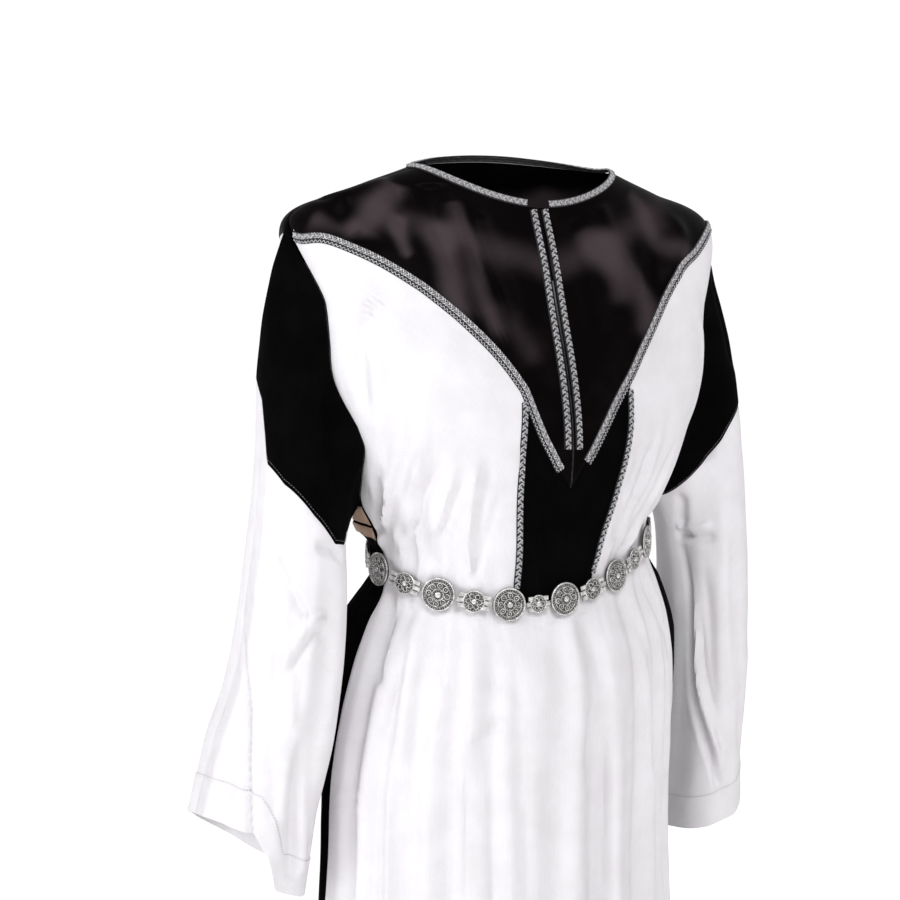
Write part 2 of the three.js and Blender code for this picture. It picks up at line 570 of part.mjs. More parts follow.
// ---- Laid-on strips, made from the spots of the panel below ----
function strip(spots, offsetOf, width) {
  const lifted = (spot, way) => ({
    point: spot.point.clone().addScaledVector(way, width / 2)
      .addScaledVector(spot.normal, LIFT + BRAID),
    normal: spot.normal,
  });
  return sheetWall(spots.map((spot, k) => {
    const before = spots[Math.max(0, k - 1)].point;
    const after = spots[Math.min(spots.length - 1, k + 1)].point;
    const run = after.clone().sub(before).normalize();
    const way = spot.normal.clone().cross(run).normalize();
    const centre = { ...spot, point: spot.point.clone().addScaledVector(way, offsetOf) };
    return [lifted(centre, way), lifted(centre, way.clone().negate())];
  }), { thickness: BRAID });
}

// ---- Finishes ----
const finish = (color, roughness, metalness = 0) => (
  () => new THREE.MeshStandardMaterial({ color, roughness, metalness })
);
const whiteCotton = finish(0xf6f5f8, 0.9);
const blackCotton = finish(0x0d0c0e, 0.9);
const blackSatin = finish(0x1d1a1d, 0.42);
const silverBraid = finish(0xb9b8ba, 0.45, 0.6);
const tanCloth = finish(0xb39a86, 0.9);
const beltSilver = finish(0xa9a8a6, 0.35, 0.9);

const group = new THREE.Group();
group.name = 'thobe';

function add(name, geometry, material, parent = group) {
  const mesh = new THREE.Mesh(geometry, material());
  mesh.name = name;
  parent.add(mesh);
  return mesh;
}

const SIDES = [{ name: 'right', sign: -1 }, { name: 'left', sign: 1 }];

// ---- Yoke ----
function addYoke() {
  for (const { name, sign } of SIDES) {
    const rows = drawBack(yokeRows(sign), ['bottom', 'end']);
    add(`front_yoke_${name}`, sheetWall(rows), blackSatin);
  }
  const back = yokeShares(BACK_YOKE_LEVEL).map(
    (share) => BACK.map((c) => backSpot(c, share * BACK_YOKE_LEVEL)),
  );
  add('back_yoke', sheetWall(drawBack(back, ['bottom', 'start', 'end'])), blackSatin);
}

// ---- Front: white panel from shoulder to hem round the black inset ----
function addFront() {
  const inside = WHOLE_FRONT.filter((c) => Math.abs(c) <= INSET_COLUMN + 1e-9);
  const inset = frontRows(inside).slice(0, BELT_ROW + 1);
  const edges = ['top', 'bottom', 'start', 'end'];
  add('front_inset', sheetWall(drawBack(inset, edges)), blackCotton);

  const rows = drawBack(frontRows(WHOLE_FRONT), ['top', 'start', 'end']);
  const first = WHOLE_FRONT.findIndex((c) => c > -INSET_COLUMN - 1e-9);
  const last = WHOLE_FRONT.length - 1 - first;
  const shift = (spot, other) => {
    spot.point = spot.point.clone().lerp(
      other.point, SEAM_GAP / 2 / spot.point.distanceTo(other.point),
    );
  };
  for (let j = 0; j <= BELT_ROW; j += 1) {
    shift(rows[j][first], rows[j][first - 1]);
    shift(rows[j][last], rows[j][last + 1]);
  }
  for (let i = first; i <= last; i += 1) shift(rows[BELT_ROW][i], rows[BELT_ROW + 1][i]);
  const missing = (j, i) => j < BELT_ROW && i >= first && i < last;
  add('front_panel', sheetWall(rows, { missing }), whiteCotton);
}

// ---- Back and side gores ----
function addBack() {
  const bodice = Array.from({ length: BODICE_ROWS + 1 }, (_, j) => BACK.map(
    (c) => backSpot(c, mix(BACK_YOKE_LEVEL, LEVEL.underarm, j / BODICE_ROWS)),
  ));
  const lower = [...WAIST_LEVELS, ...SKIRT_LEVELS].map((level) => BACK.map((c) => backSpot(c, level)));
  const rows = drawBack([...bodice, ...lower], ['top', 'start', 'end']);
  add('back_panel', sheetWall(rows), whiteCotton);
}

// Rows of a side gore's spots, from its front seam to its back seam.
function goreRows(sign, levels) {
  return levels.map((level) => {
    const start = frontEdge(sign, level);
    const end = 180 - between(RINGS, 'backEdge', level);
    return Array.from({ length: GORE_COLUMNS + 1 },
      (_, i) => bodySpot(sign * mix(start, end, i / GORE_COLUMNS), level));
  });
}

function addGores() {
  for (const { name, sign } of SIDES) {
    const rows = goreRows(sign, [LEVEL.underarm, ...WAIST_LEVELS, ...SKIRT_LEVELS]);
    const edges = ['top', 'start', 'end'];
    add(`side_gore_${name}`, sheetWall(drawBack(rows, edges)), blackCotton);
  }
}

// ---- Sleeves ----
function addSleeves() {
  for (const { name, sign } of SIDES) {
    const join = (turn) => stepped(SLEEVE_JOIN[name], 'turn', 'ring', turn);
    let upper = sleeveRows(sign, (turn, share) => share * join(turn), UPPER_ROWS);
    upper = drawBack(drawBack(upper, ['bottom'], SEAM_GAP, true), ['top'], SLEEVE_GAP, true);
    const cuff = (turn) => stepped(SLEEVE_CUFF[name], 'turn', 'ring', turn);
    const lower = sleeveRows(sign, (turn, share) => mix(join(turn), cuff(turn), share), LOWER_ROWS);
    add(`upper_sleeve_${name}`, sheetWall(upper, { wrap: true }), blackCotton);
    const lowerRows = drawBack(lower, ['top'], SEAM_GAP, true);
    add(`lower_sleeve_${name}`, sheetWall(lowerRows, { wrap: true }), whiteCotton);
  }
}

// ---- Braids ----
function addBraids() {
  const fromStart = (start) => [start, ...FRONT_COLUMNS.filter((c) => c > start)];
  const neck = [
    ...fromStart(NECK_BRAID_START.left).map((c) => frontSpot(c, 0)),
    ...BACK.slice(1, -1).map((c) => backSpot(c, 0)),
    ...fromStart(NECK_BRAID_START.right).map((c) => frontSpot(-c, 0)).reverse(),
  ];
  add('neck_braid', strip(neck, -NECK_BRAID_WIDTH / 2, NECK_BRAID_WIDTH), silverBraid);

  for (const { name, sign } of SIDES) {
    const slit = SLIT_BRAID_LEVELS.map((level) => frontSpot(0, level));
    const fromSlit = sign * (SLIT_BRAID_EDGE + SLIT_BRAID_WIDTH / 2);
    add(`slit_braid_${name}`, strip(slit, fromSlit, SLIT_BRAID_WIDTH), silverBraid);
    const yoke = FRONT_COLUMNS.slice(1).map((c) => {
      const column = sign * Math.min(c, YOKE_BRAID_END);
      return frontSpot(column, yokeEdge(column));
    });
    add(`yoke_braid_${name}`, strip(yoke, 0, YOKE_BRAID_WIDTH), silverBraid);
    const inset = frontRows([sign * INSET_COLUMN]).slice(1, BELT_ROW - 1).map((row) => row[0]);
    add(`inset_braid_${name}`, strip(inset, 0, INSET_BRAID_WIDTH), silverBraid);
  }
}

// ---- Underarm patches, tan bands laid over the top of each side gore ----
function addPatches() {
  for (const { side, sign, name, levels } of PATCHES) {
    const rows = drawBack(goreRows(sign, levels), ['start', 'end'], PATCH_EDGE);
    for (const row of rows) {
      for (const spot of row) spot.point.addScaledVector(spot.normal, LIFT + BRAID);
    }
    add(`underarm_patch_${side}_${name}`, sheetWall(rows, { thickness: BRAID }), tanCloth);
  }
}

// ---- Belt: large medallions, with a small one and its two links between each pair ----
const beltPoint = (angle) => bodyPoint(angle, BELT_LEVEL, false);

// Angles at even steps round the belt, with the length run from the centre front towards -X.
function beltLengths() {
  const table = [{ run: 0, angle: 0 }];
  for (let angle = -1; angle >= -360; angle -= 1) {
    const step = beltPoint(angle).distanceTo(beltPoint(angle + 1));
    table.push({ run: table.at(-1).run + step, angle });
  }
  return table;
}

// A frame on the belt: tangent runs round the body, out away from it, and up is square to both.
function beltFrame(tangent) {
  const out = new THREE.Vector3(tangent.y, -tangent.x, 0).normalize();
  const up = out.clone().cross(tangent).normalize();
  return { tangent, out, up };
}

function place(mesh, point, { tangent, up, out }) {
  mesh.quaternion.setFromRotationMatrix(new THREE.Matrix4().makeBasis(tangent, up, out));
  mesh.position.copy(point);
}

// The cloth's highest place behind a medallion, measured outwards from the belt's middle line.
function clothReach(angle, centre, { tangent, up, out }) {
  let reach = 0;
  for (let turn = angle - 12; turn <= angle + 12; turn += 1) {
    for (let level = LEVEL.beltTop - 0.4; level <= LEVEL.beltBottom + 0.4; level += 0.1) {
      const away = bodyPoint(turn, level, false).sub(centre);
      const isBehind = Math.hypot(away.dot(tangent), away.dot(up)) <= BIG_RADIUS + 1;
      if (isBehind) reach = Math.max(reach, away.dot(out));
    }
  }
  return reach;
}

// Where a large medallion sits, with the two points of its rim that the links reach.
function medallionSeat(angle) {
  const centre = beltPoint(angle);
  const tangent = beltPoint(angle + 1).sub(beltPoint(angle - 1)).normalize();
  const frame = beltFrame(tangent);
  const rise = clothReach(angle, centre, frame) + BELT_CLEAR;
  const point = centre.addScaledVector(frame.out, rise);
  const rim = (way) => point.clone().addScaledVector(tangent, way * (BIG_RADIUS + BELT_JOINT_GAP));
  return { frame, point, ahead: rim(-1), behind: rim(1) };
}

function bigMedallion() {
  const profile = BIG_PROFILE.map(({ radius, rise }) => new THREE.Vector2(radius, rise));
  return new THREE.LatheGeometry(profile, BIG_SIDES).rotateX(Math.PI / 2);
}

// A link plate: a small round medallion with a straight link at either side.
function linkPlate(halfLength, radius) {
  const outline = new THREE.Shape();
  const reach = Math.asin(LINK_HALF_HEIGHT / radius);
  const shoulder = halfLength - LINK_CHAMFER;
  const end = LINK_HALF_HEIGHT - LINK_CHAMFER;
  outline.moveTo(-shoulder, -LINK_HALF_HEIGHT);
  outline.absarc(0, 0, radius, Math.PI + reach, 2 * Math.PI - reach, false);
  outline.lineTo(shoulder, -LINK_HALF_HEIGHT);
  outline.lineTo(halfLength, -end);
  outline.lineTo(halfLength, end);
  outline.lineTo(shoulder, LINK_HALF_HEIGHT);
  outline.absarc(0, 0, radius, reach, Math.PI - reach, false);
  outline.lineTo(-shoulder, LINK_HALF_HEIGHT);
  outline.lineTo(-halfLength, end);
  outline.lineTo(-halfLength, -end);
  return new THREE.ExtrudeGeometry(outline, {
    depth: LINK_THICKNESS, bevelEnabled: false, curveSegments: 4,
  });
}

function addBelt() {
  const table = beltLengths();
  const pitch = (table.at(-1).run - CLASP_PITCH) / (BIG_COUNT - 1);
  const seats = Array.from({ length: BIG_COUNT }, (_, k) => {
    const run = k === 0 ? 0 : CLASP_PITCH + pitch * (k - 1);
    return medallionSeat(stepped(table, 'run', 'angle', run));
  });
  seats.forEach((seat, k) => {
    place(add(`belt_medallion_${k + 1}`, bigMedallion(), beltSilver), seat.point, seat.frame);
    const start = seat.ahead;
    const end = seats[(k + 1) % BIG_COUNT].behind;
    const name = k === 0 ? 'belt_clasp' : `belt_link_${k}`;
    const radius = k === 0 ? CLASP_RADIUS : SMALL_RADIUS;
    const plate = linkPlate(start.distanceTo(end) / 2, radius);
    const frame = beltFrame(start.clone().sub(end).normalize());
    place(add(name, plate, beltSilver), start.lerp(end, 0.5), frame);
  });
}

addYoke();
addFront();
addBack();
addGores();
addSleeves();
addBraids();
addPatches();
addBelt();

export default group;
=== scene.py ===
# %% [markdown]
# # A long woven thobe with a silver belt
# The real garment is cut from white cotton, with a black satin yoke, black upper sleeves and black
# side gores. Silver braids cover its main seams, and a belt of linked medallions gathers it at the
# waist. Each cut piece is made here as its own thin shell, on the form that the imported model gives.

# %% Load the model that every piece is fitted to
import json
import math
import bpy
import numpy as np
from mathutils import Matrix, Vector

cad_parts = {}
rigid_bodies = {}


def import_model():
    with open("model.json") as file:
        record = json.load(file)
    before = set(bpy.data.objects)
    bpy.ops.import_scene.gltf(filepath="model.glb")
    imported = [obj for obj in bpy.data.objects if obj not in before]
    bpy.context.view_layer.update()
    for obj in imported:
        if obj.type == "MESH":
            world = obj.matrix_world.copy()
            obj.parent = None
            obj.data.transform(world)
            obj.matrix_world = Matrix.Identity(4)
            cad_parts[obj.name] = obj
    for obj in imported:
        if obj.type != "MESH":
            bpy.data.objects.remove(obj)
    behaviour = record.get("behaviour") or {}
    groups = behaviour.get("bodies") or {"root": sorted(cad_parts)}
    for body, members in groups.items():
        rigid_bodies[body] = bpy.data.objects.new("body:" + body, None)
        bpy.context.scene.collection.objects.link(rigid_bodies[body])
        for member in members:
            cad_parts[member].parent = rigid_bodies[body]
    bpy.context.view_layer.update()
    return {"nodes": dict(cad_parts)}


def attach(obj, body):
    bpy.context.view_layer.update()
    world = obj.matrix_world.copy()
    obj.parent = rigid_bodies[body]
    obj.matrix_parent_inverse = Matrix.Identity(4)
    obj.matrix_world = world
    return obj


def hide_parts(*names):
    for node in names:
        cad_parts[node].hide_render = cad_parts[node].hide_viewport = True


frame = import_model()
print("model nodes:", len(frame["nodes"]))

# %% [markdown]
# ## The garment's rings
# A dress form or a worn garment is round, so its shape is easiest to hold as a pile of rings. Each
# row is one ring: half sizes about its centre, how square it is, its heights at the sides, front
# and back, and the angles where the front and back pieces end. Sculpting would give the same form,
# but a table keeps the pieces meeting exactly at their seams. Sizes are in millimetres.

# %% Rings from the neck to the hem
RING_COLUMNS = ("half_width centre_x centre_y front back power side_z front_z back_z front_edge"
                " back_edge inset_right inset_left turn tilt left_early").split()
RING_ROWS = np.array([
    [113, 0, -16, 58, 58, 2.2, 0, -38, 10, 90, 90, 13, 18, -3, 0, 0],               # neck
    [172, 0, -8, 80, 76, 2.1, -20, -88, -38, 90, 90, 13, 18, -0.9, 0, 0],           # collar
    [236, 0, 0, 100, 96, 2.4, -47, -142, -105, 90, 90, 13, 18.5, 0.3, 0, 0],        # shoulder
    [224, 0, 0, 112, 104, 2.4, -118, -205, -178, 71, 70, 12.5, 19, 1.3, 0, 0],      # chest
    [217, 0, -2, 119, 106, 2.3, -190, -262, -240, 72, 70, 14, 18.5, 1.3, 0, 0],     # breast
    [196, 0, -4, 119, 106, 2.2, -252, -312, -290, 67, 67, 16, 16.5, 0.5, 0, 0],     # rib
    [172, 0, -8, 113, 105, 2.0, -315, -350, -328, 84, 84, 17.5, 14.5, 0, 3, 0],     # underarm
    [158, 0, -12, 105, 103, 2.0, -338, -376, -351, 85, 72, 18.5, 14, 0, 9, 0],      # blouse
    [151, 0, -14, 99, 99, 2.0, -357, -397, -369, 85, 64, 19, 14, 0, 20, 6],         # belt top
    [151, 0, -14, 99, 99, 2.0, -392, -432, -404, 85, 64, 19, 14, 0, 20, 10],        # belt bottom
    [175, -2, -18, 118, 112, 2.0, -470, -498, -478, 92, 62, 19, 15, 0, 8, 22],      # hip
    [188, -5, -8, 126, 122, 2.0, -575, -592, -580, 96, 62, 19, 16, 0, 2, 22],       # thigh
    [191, -8, -4, 132, 128, 2.0, -700, -708, -702, 97, 62, 18, 17, 0, 0, 18],       # skirt
    [207, -8, 0, 146, 142, 2.0, -960, -962, -960, 96, 62, 18, 18, 0, 0, 14],        # knee
    [240, -8, 0, 172, 168, 2.0, -1350, -1350, -1350, 96, 60, 18, 18, 0, 0, 12],     # hem
])
RINGS = dict(zip(RING_COLUMNS, RING_ROWS.T))
UNDERARM, BELT_TOP, BELT_BOTTOM, HEM = 6, 8, 9, 14
BELT_LEVEL = (BELT_TOP + BELT_BOTTOM) / 2


def smooth(x):
    x = np.clip(x, 0, 1)
    return x * x * (3 - 2 * x)


def mix(a, b, share):
    return a + (b - a) * share


def along(values, place):
    """A table's column read smoothly at places between its rows."""
    last = len(values) - 1
    index = np.clip(np.floor(place).astype(int), 0, last - 1)
    f = place - index
    p1, p2 = values[index], values[index + 1]
    p0 = np.where(index > 0, values[np.maximum(index - 1, 0)], 2 * p1 - p2)
    p3 = np.where(index + 2 <= last, values[np.minimum(index + 2, last)], 2 * p2 - p1)
    cubic = -p0 + 3 * p1 - 3 * p2 + p3
    square = 2 * p0 - 5 * p1 + 4 * p2 - p3
    return p1 + 0.5 * f * (p2 - p0 + f * (square + f * cubic))


def between(values, place):
    """The same, kept between the two rows next to each place."""
    index = np.clip(np.floor(place).astype(int), 0, len(values) - 2)
    ends = np.stack([values[index], values[index + 1]])
    return np.clip(along(values, place), ends.min(axis=0), ends.max(axis=0))


def ring(key, level):
    return along(RINGS[key], np.asarray(level, float))


print("rings:", len(RING_ROWS), "with", len(RING_COLUMNS), "measures each")

# %% [markdown]
# ## Large folds
# Cloth that a belt draws in falls in pleats that open towards the hem. Each row is one pleat: its
# angle from the centre front at the belt and at the hem, its half width in degrees, and its depth
# above and below the belt. A cloth simulation could find such pleats, but it would not put them
# where these ones hang, so they are pressed into the rings.

# %% Folds and the body's surface
FOLDS = np.array([
    [-91, -105, 5, 0, 12], [-78, -79, 6, 5, 12], [-66, -65, 6, 4, 14], [-54, -51, 7, 6, 13],
    [-42, -36, 6, 5, 12], [-31, -22, 7, 4, 16], [-4, -5, 8, 0, 11], [9, 13, 7, 0, 17],
    [31, 31, 7, 5, 13], [44, 47, 7, 6, 15], [53, 57, 5, 4, 12], [64, 68, 5, 5, 14],
    [91, 105, 5, 0, 12], [127, 132, 7, 5, 13], [138, 146, 7, 6, 16], [149, 158, 7, 4, 12],
    [161, 168, 7, 6, 17], [172, 179, 7, 4, 13], [184, 190, 7, 5, 16], [200, 202, 7, 6, 12],
    [215, 213, 7, 4, 15], [226, 222, 6, 6, 13], [236, 231, 6, 5, 15],
])
FINS = [  # where the loose gores stand out: angle, half width, and (level, height) along it
    (-106, 24, [(6, 0), (6.5, 2), (7, 8), (7.5, 8), (8, 0), (9, 0), (9.4, 15), (10, 13), (10.6, 7),
                (11.2, 3), (12, 0)]),
    (88, 22, [(9, 0), (9.4, 14), (10, 17), (10.6, 10), (11.2, 4), (12, 0)]),
]
FOLD_AT_BELT = 2.6
FOLD_TOP = 4.6
TILT_END = 0.6


def hump(away, width, whole=360):
    """A rounded pleat: 1 at its middle and 0 beyond its half width, on a way round of whole."""
    away = away - whole * np.round(away / whole)
    return np.where(abs(away) < width, 0.5 + 0.5 * np.cos(np.pi * away / width), 0)


def fold_depth(angle, level):
    down = np.clip((level - BELT_BOTTOM) / (HEM - BELT_BOTTOM), 0, 1)
    up = np.clip((BELT_TOP - level) / (BELT_TOP - FOLD_TOP), 0, 1)
    depth = np.zeros(np.broadcast(angle, level).shape)
    for belt, hem, width, above, below in FOLDS:
        shape = hump(angle - mix(belt, hem, down), width)
        low = mix(FOLD_AT_BELT, below, np.sqrt(down))
        high = mix(FOLD_AT_BELT, above, smooth(up * 4)) * (1 - smooth(up))
        depth = depth + shape * np.where(down > 0, low, high * (1 if above > 0 else 0.2))
    return depth


def fin_height(angle, level):
    height = 0
    for centre, width, heights in FINS:
        height = height + hump(angle - centre, width) * np.interp(level, *np.array(heights).T)
    return height


def body_point(angle, level, folded=True):
    """Points on the garment's outside, in millimetres, at angles and ring places."""
    angle, level = np.broadcast_arrays(np.asarray(angle, float), np.asarray(level, float))
    sin, cos = np.sin(np.radians(angle)), np.cos(np.radians(angle))
    power = ring("power", level)
    swell = (abs(sin) ** power + abs(cos) ** power) ** (-1 / power)
    depth = np.where(cos > 0, ring("front", level), ring("back", level))
    x, y = ring("half_width", level) * swell * sin, -depth * swell * cos
    if folded:
        reach = np.hypot(x, y)
        pressed = 1 + (fin_height(angle, level) - fold_depth(angle, level)) / reach
        x, y = x * pressed, y * pressed
    end_z = np.where(cos > 0, ring("front_z", level), ring("back_z", level))
    tilt = ring("tilt", level) * sin * smooth((cos + TILT_END) / (2 * TILT_END))
    z = mix(ring("side_z", level), end_z, cos ** 2) + tilt
    return np.stack([x + ring("centre_x", level), y + ring("centre_y", level), z], axis=-1)


def unit(v):
    return v / np.maximum(np.linalg.norm(v, axis=-1, keepdims=True), 1e-9)


def body_normal(angle, level):
    across = body_point(angle + 0.4, level) - body_point(angle - 0.4, level)
    above = np.maximum(np.asarray(level, float) - 0.02, 0)
    down = body_point(angle, np.asarray(level, float) + 0.02) - body_point(angle, above)
    return unit(np.cross(down, across))


print("folds:", len(FOLDS), "loose gore edges:", len(FINS))

# %% [markdown]
# ## Where the pieces are cut
# The front is divided into columns, from 0 at the centre to 1 at the armhole and side seam, and
# the black inset takes the first 0.3 of them. The yoke's lower edge is a level for each column, so
# the V, the panel below it and the braid on top all read one line and meet on it.

# %% Cutting lines
INSET_COLUMN = 0.3
SLIT_COLUMN = 0.006
BACK_YOKE_LEVEL = 2.25
YOKE_COLUMN = np.array([0, .10, .18, .25, .31, .37, .43, .50, .60, .74, .89, 1])
YOKE_LEVEL = {
    -1: np.array([4.85, 4.35, 3.92, 3.48, 3.06, 2.60, 2.24, 2.02, 1.93, 2.01, 2.24, 2.30]),
    1: np.array([4.85, 4.20, 3.67, 3.31, 3.04, 2.63, 2.17, 1.88, 1.86, 1.88, 2.02, 2.12]),
}


def yoke_edge(column):
    column = np.asarray(column, float)
    place = np.interp(abs(column), YOKE_COLUMN, np.arange(len(YOKE_COLUMN)))
    return np.where(column < 0, along(YOKE_LEVEL[-1], place), along(YOKE_LEVEL[1], place))


def front_edge(side, level):
    """The angle where the front piece ends; it ends sooner on the wearer's left."""
    early = np.where(np.asarray(side) > 0, between(RINGS["left_early"], level), 0)
    return between(RINGS["front_edge"], level) - early


def front_angle(column, level):
    column, level = np.broadcast_arrays(np.asarray(column, float), np.asarray(level, float))
    size = abs(column)
    edge = front_edge(column, level)
    inset = np.where(column < 0, ring("inset_right", level), ring("inset_left", level))
    outer = mix(inset, edge, (size - INSET_COLUMN) / (1 - INSET_COLUMN))
    angle = np.where(size < INSET_COLUMN, inset * size / INSET_COLUMN, outer)
    return np.sign(column) * angle + ring("turn", level) * (1 - size)


def side_angle(side, level, share):
    """A share of the way across the gap at the side, from the front piece to the back one."""
    return side * mix(front_edge(side, level), 180 - between(RINGS["back_edge"], level), share)


def back_angle(column, level):
    level = np.asarray(level, float)
    return 180 - column * between(RINGS["back_edge"], level)


print("yoke tip level:", float(yoke_edge(0)))

# %% [markdown]
# ## Creases
# Between the big pleats, worn cotton shows softer creases: one arc over the chest, a fan of lines
# that gather into the belt, and long breaks down the skirt. Each is a line on the surface with a
# width and a depth, in millimetres; a positive depth raises a ridge. A bump texture could fake
# them, but only real relief catches the light from the side.

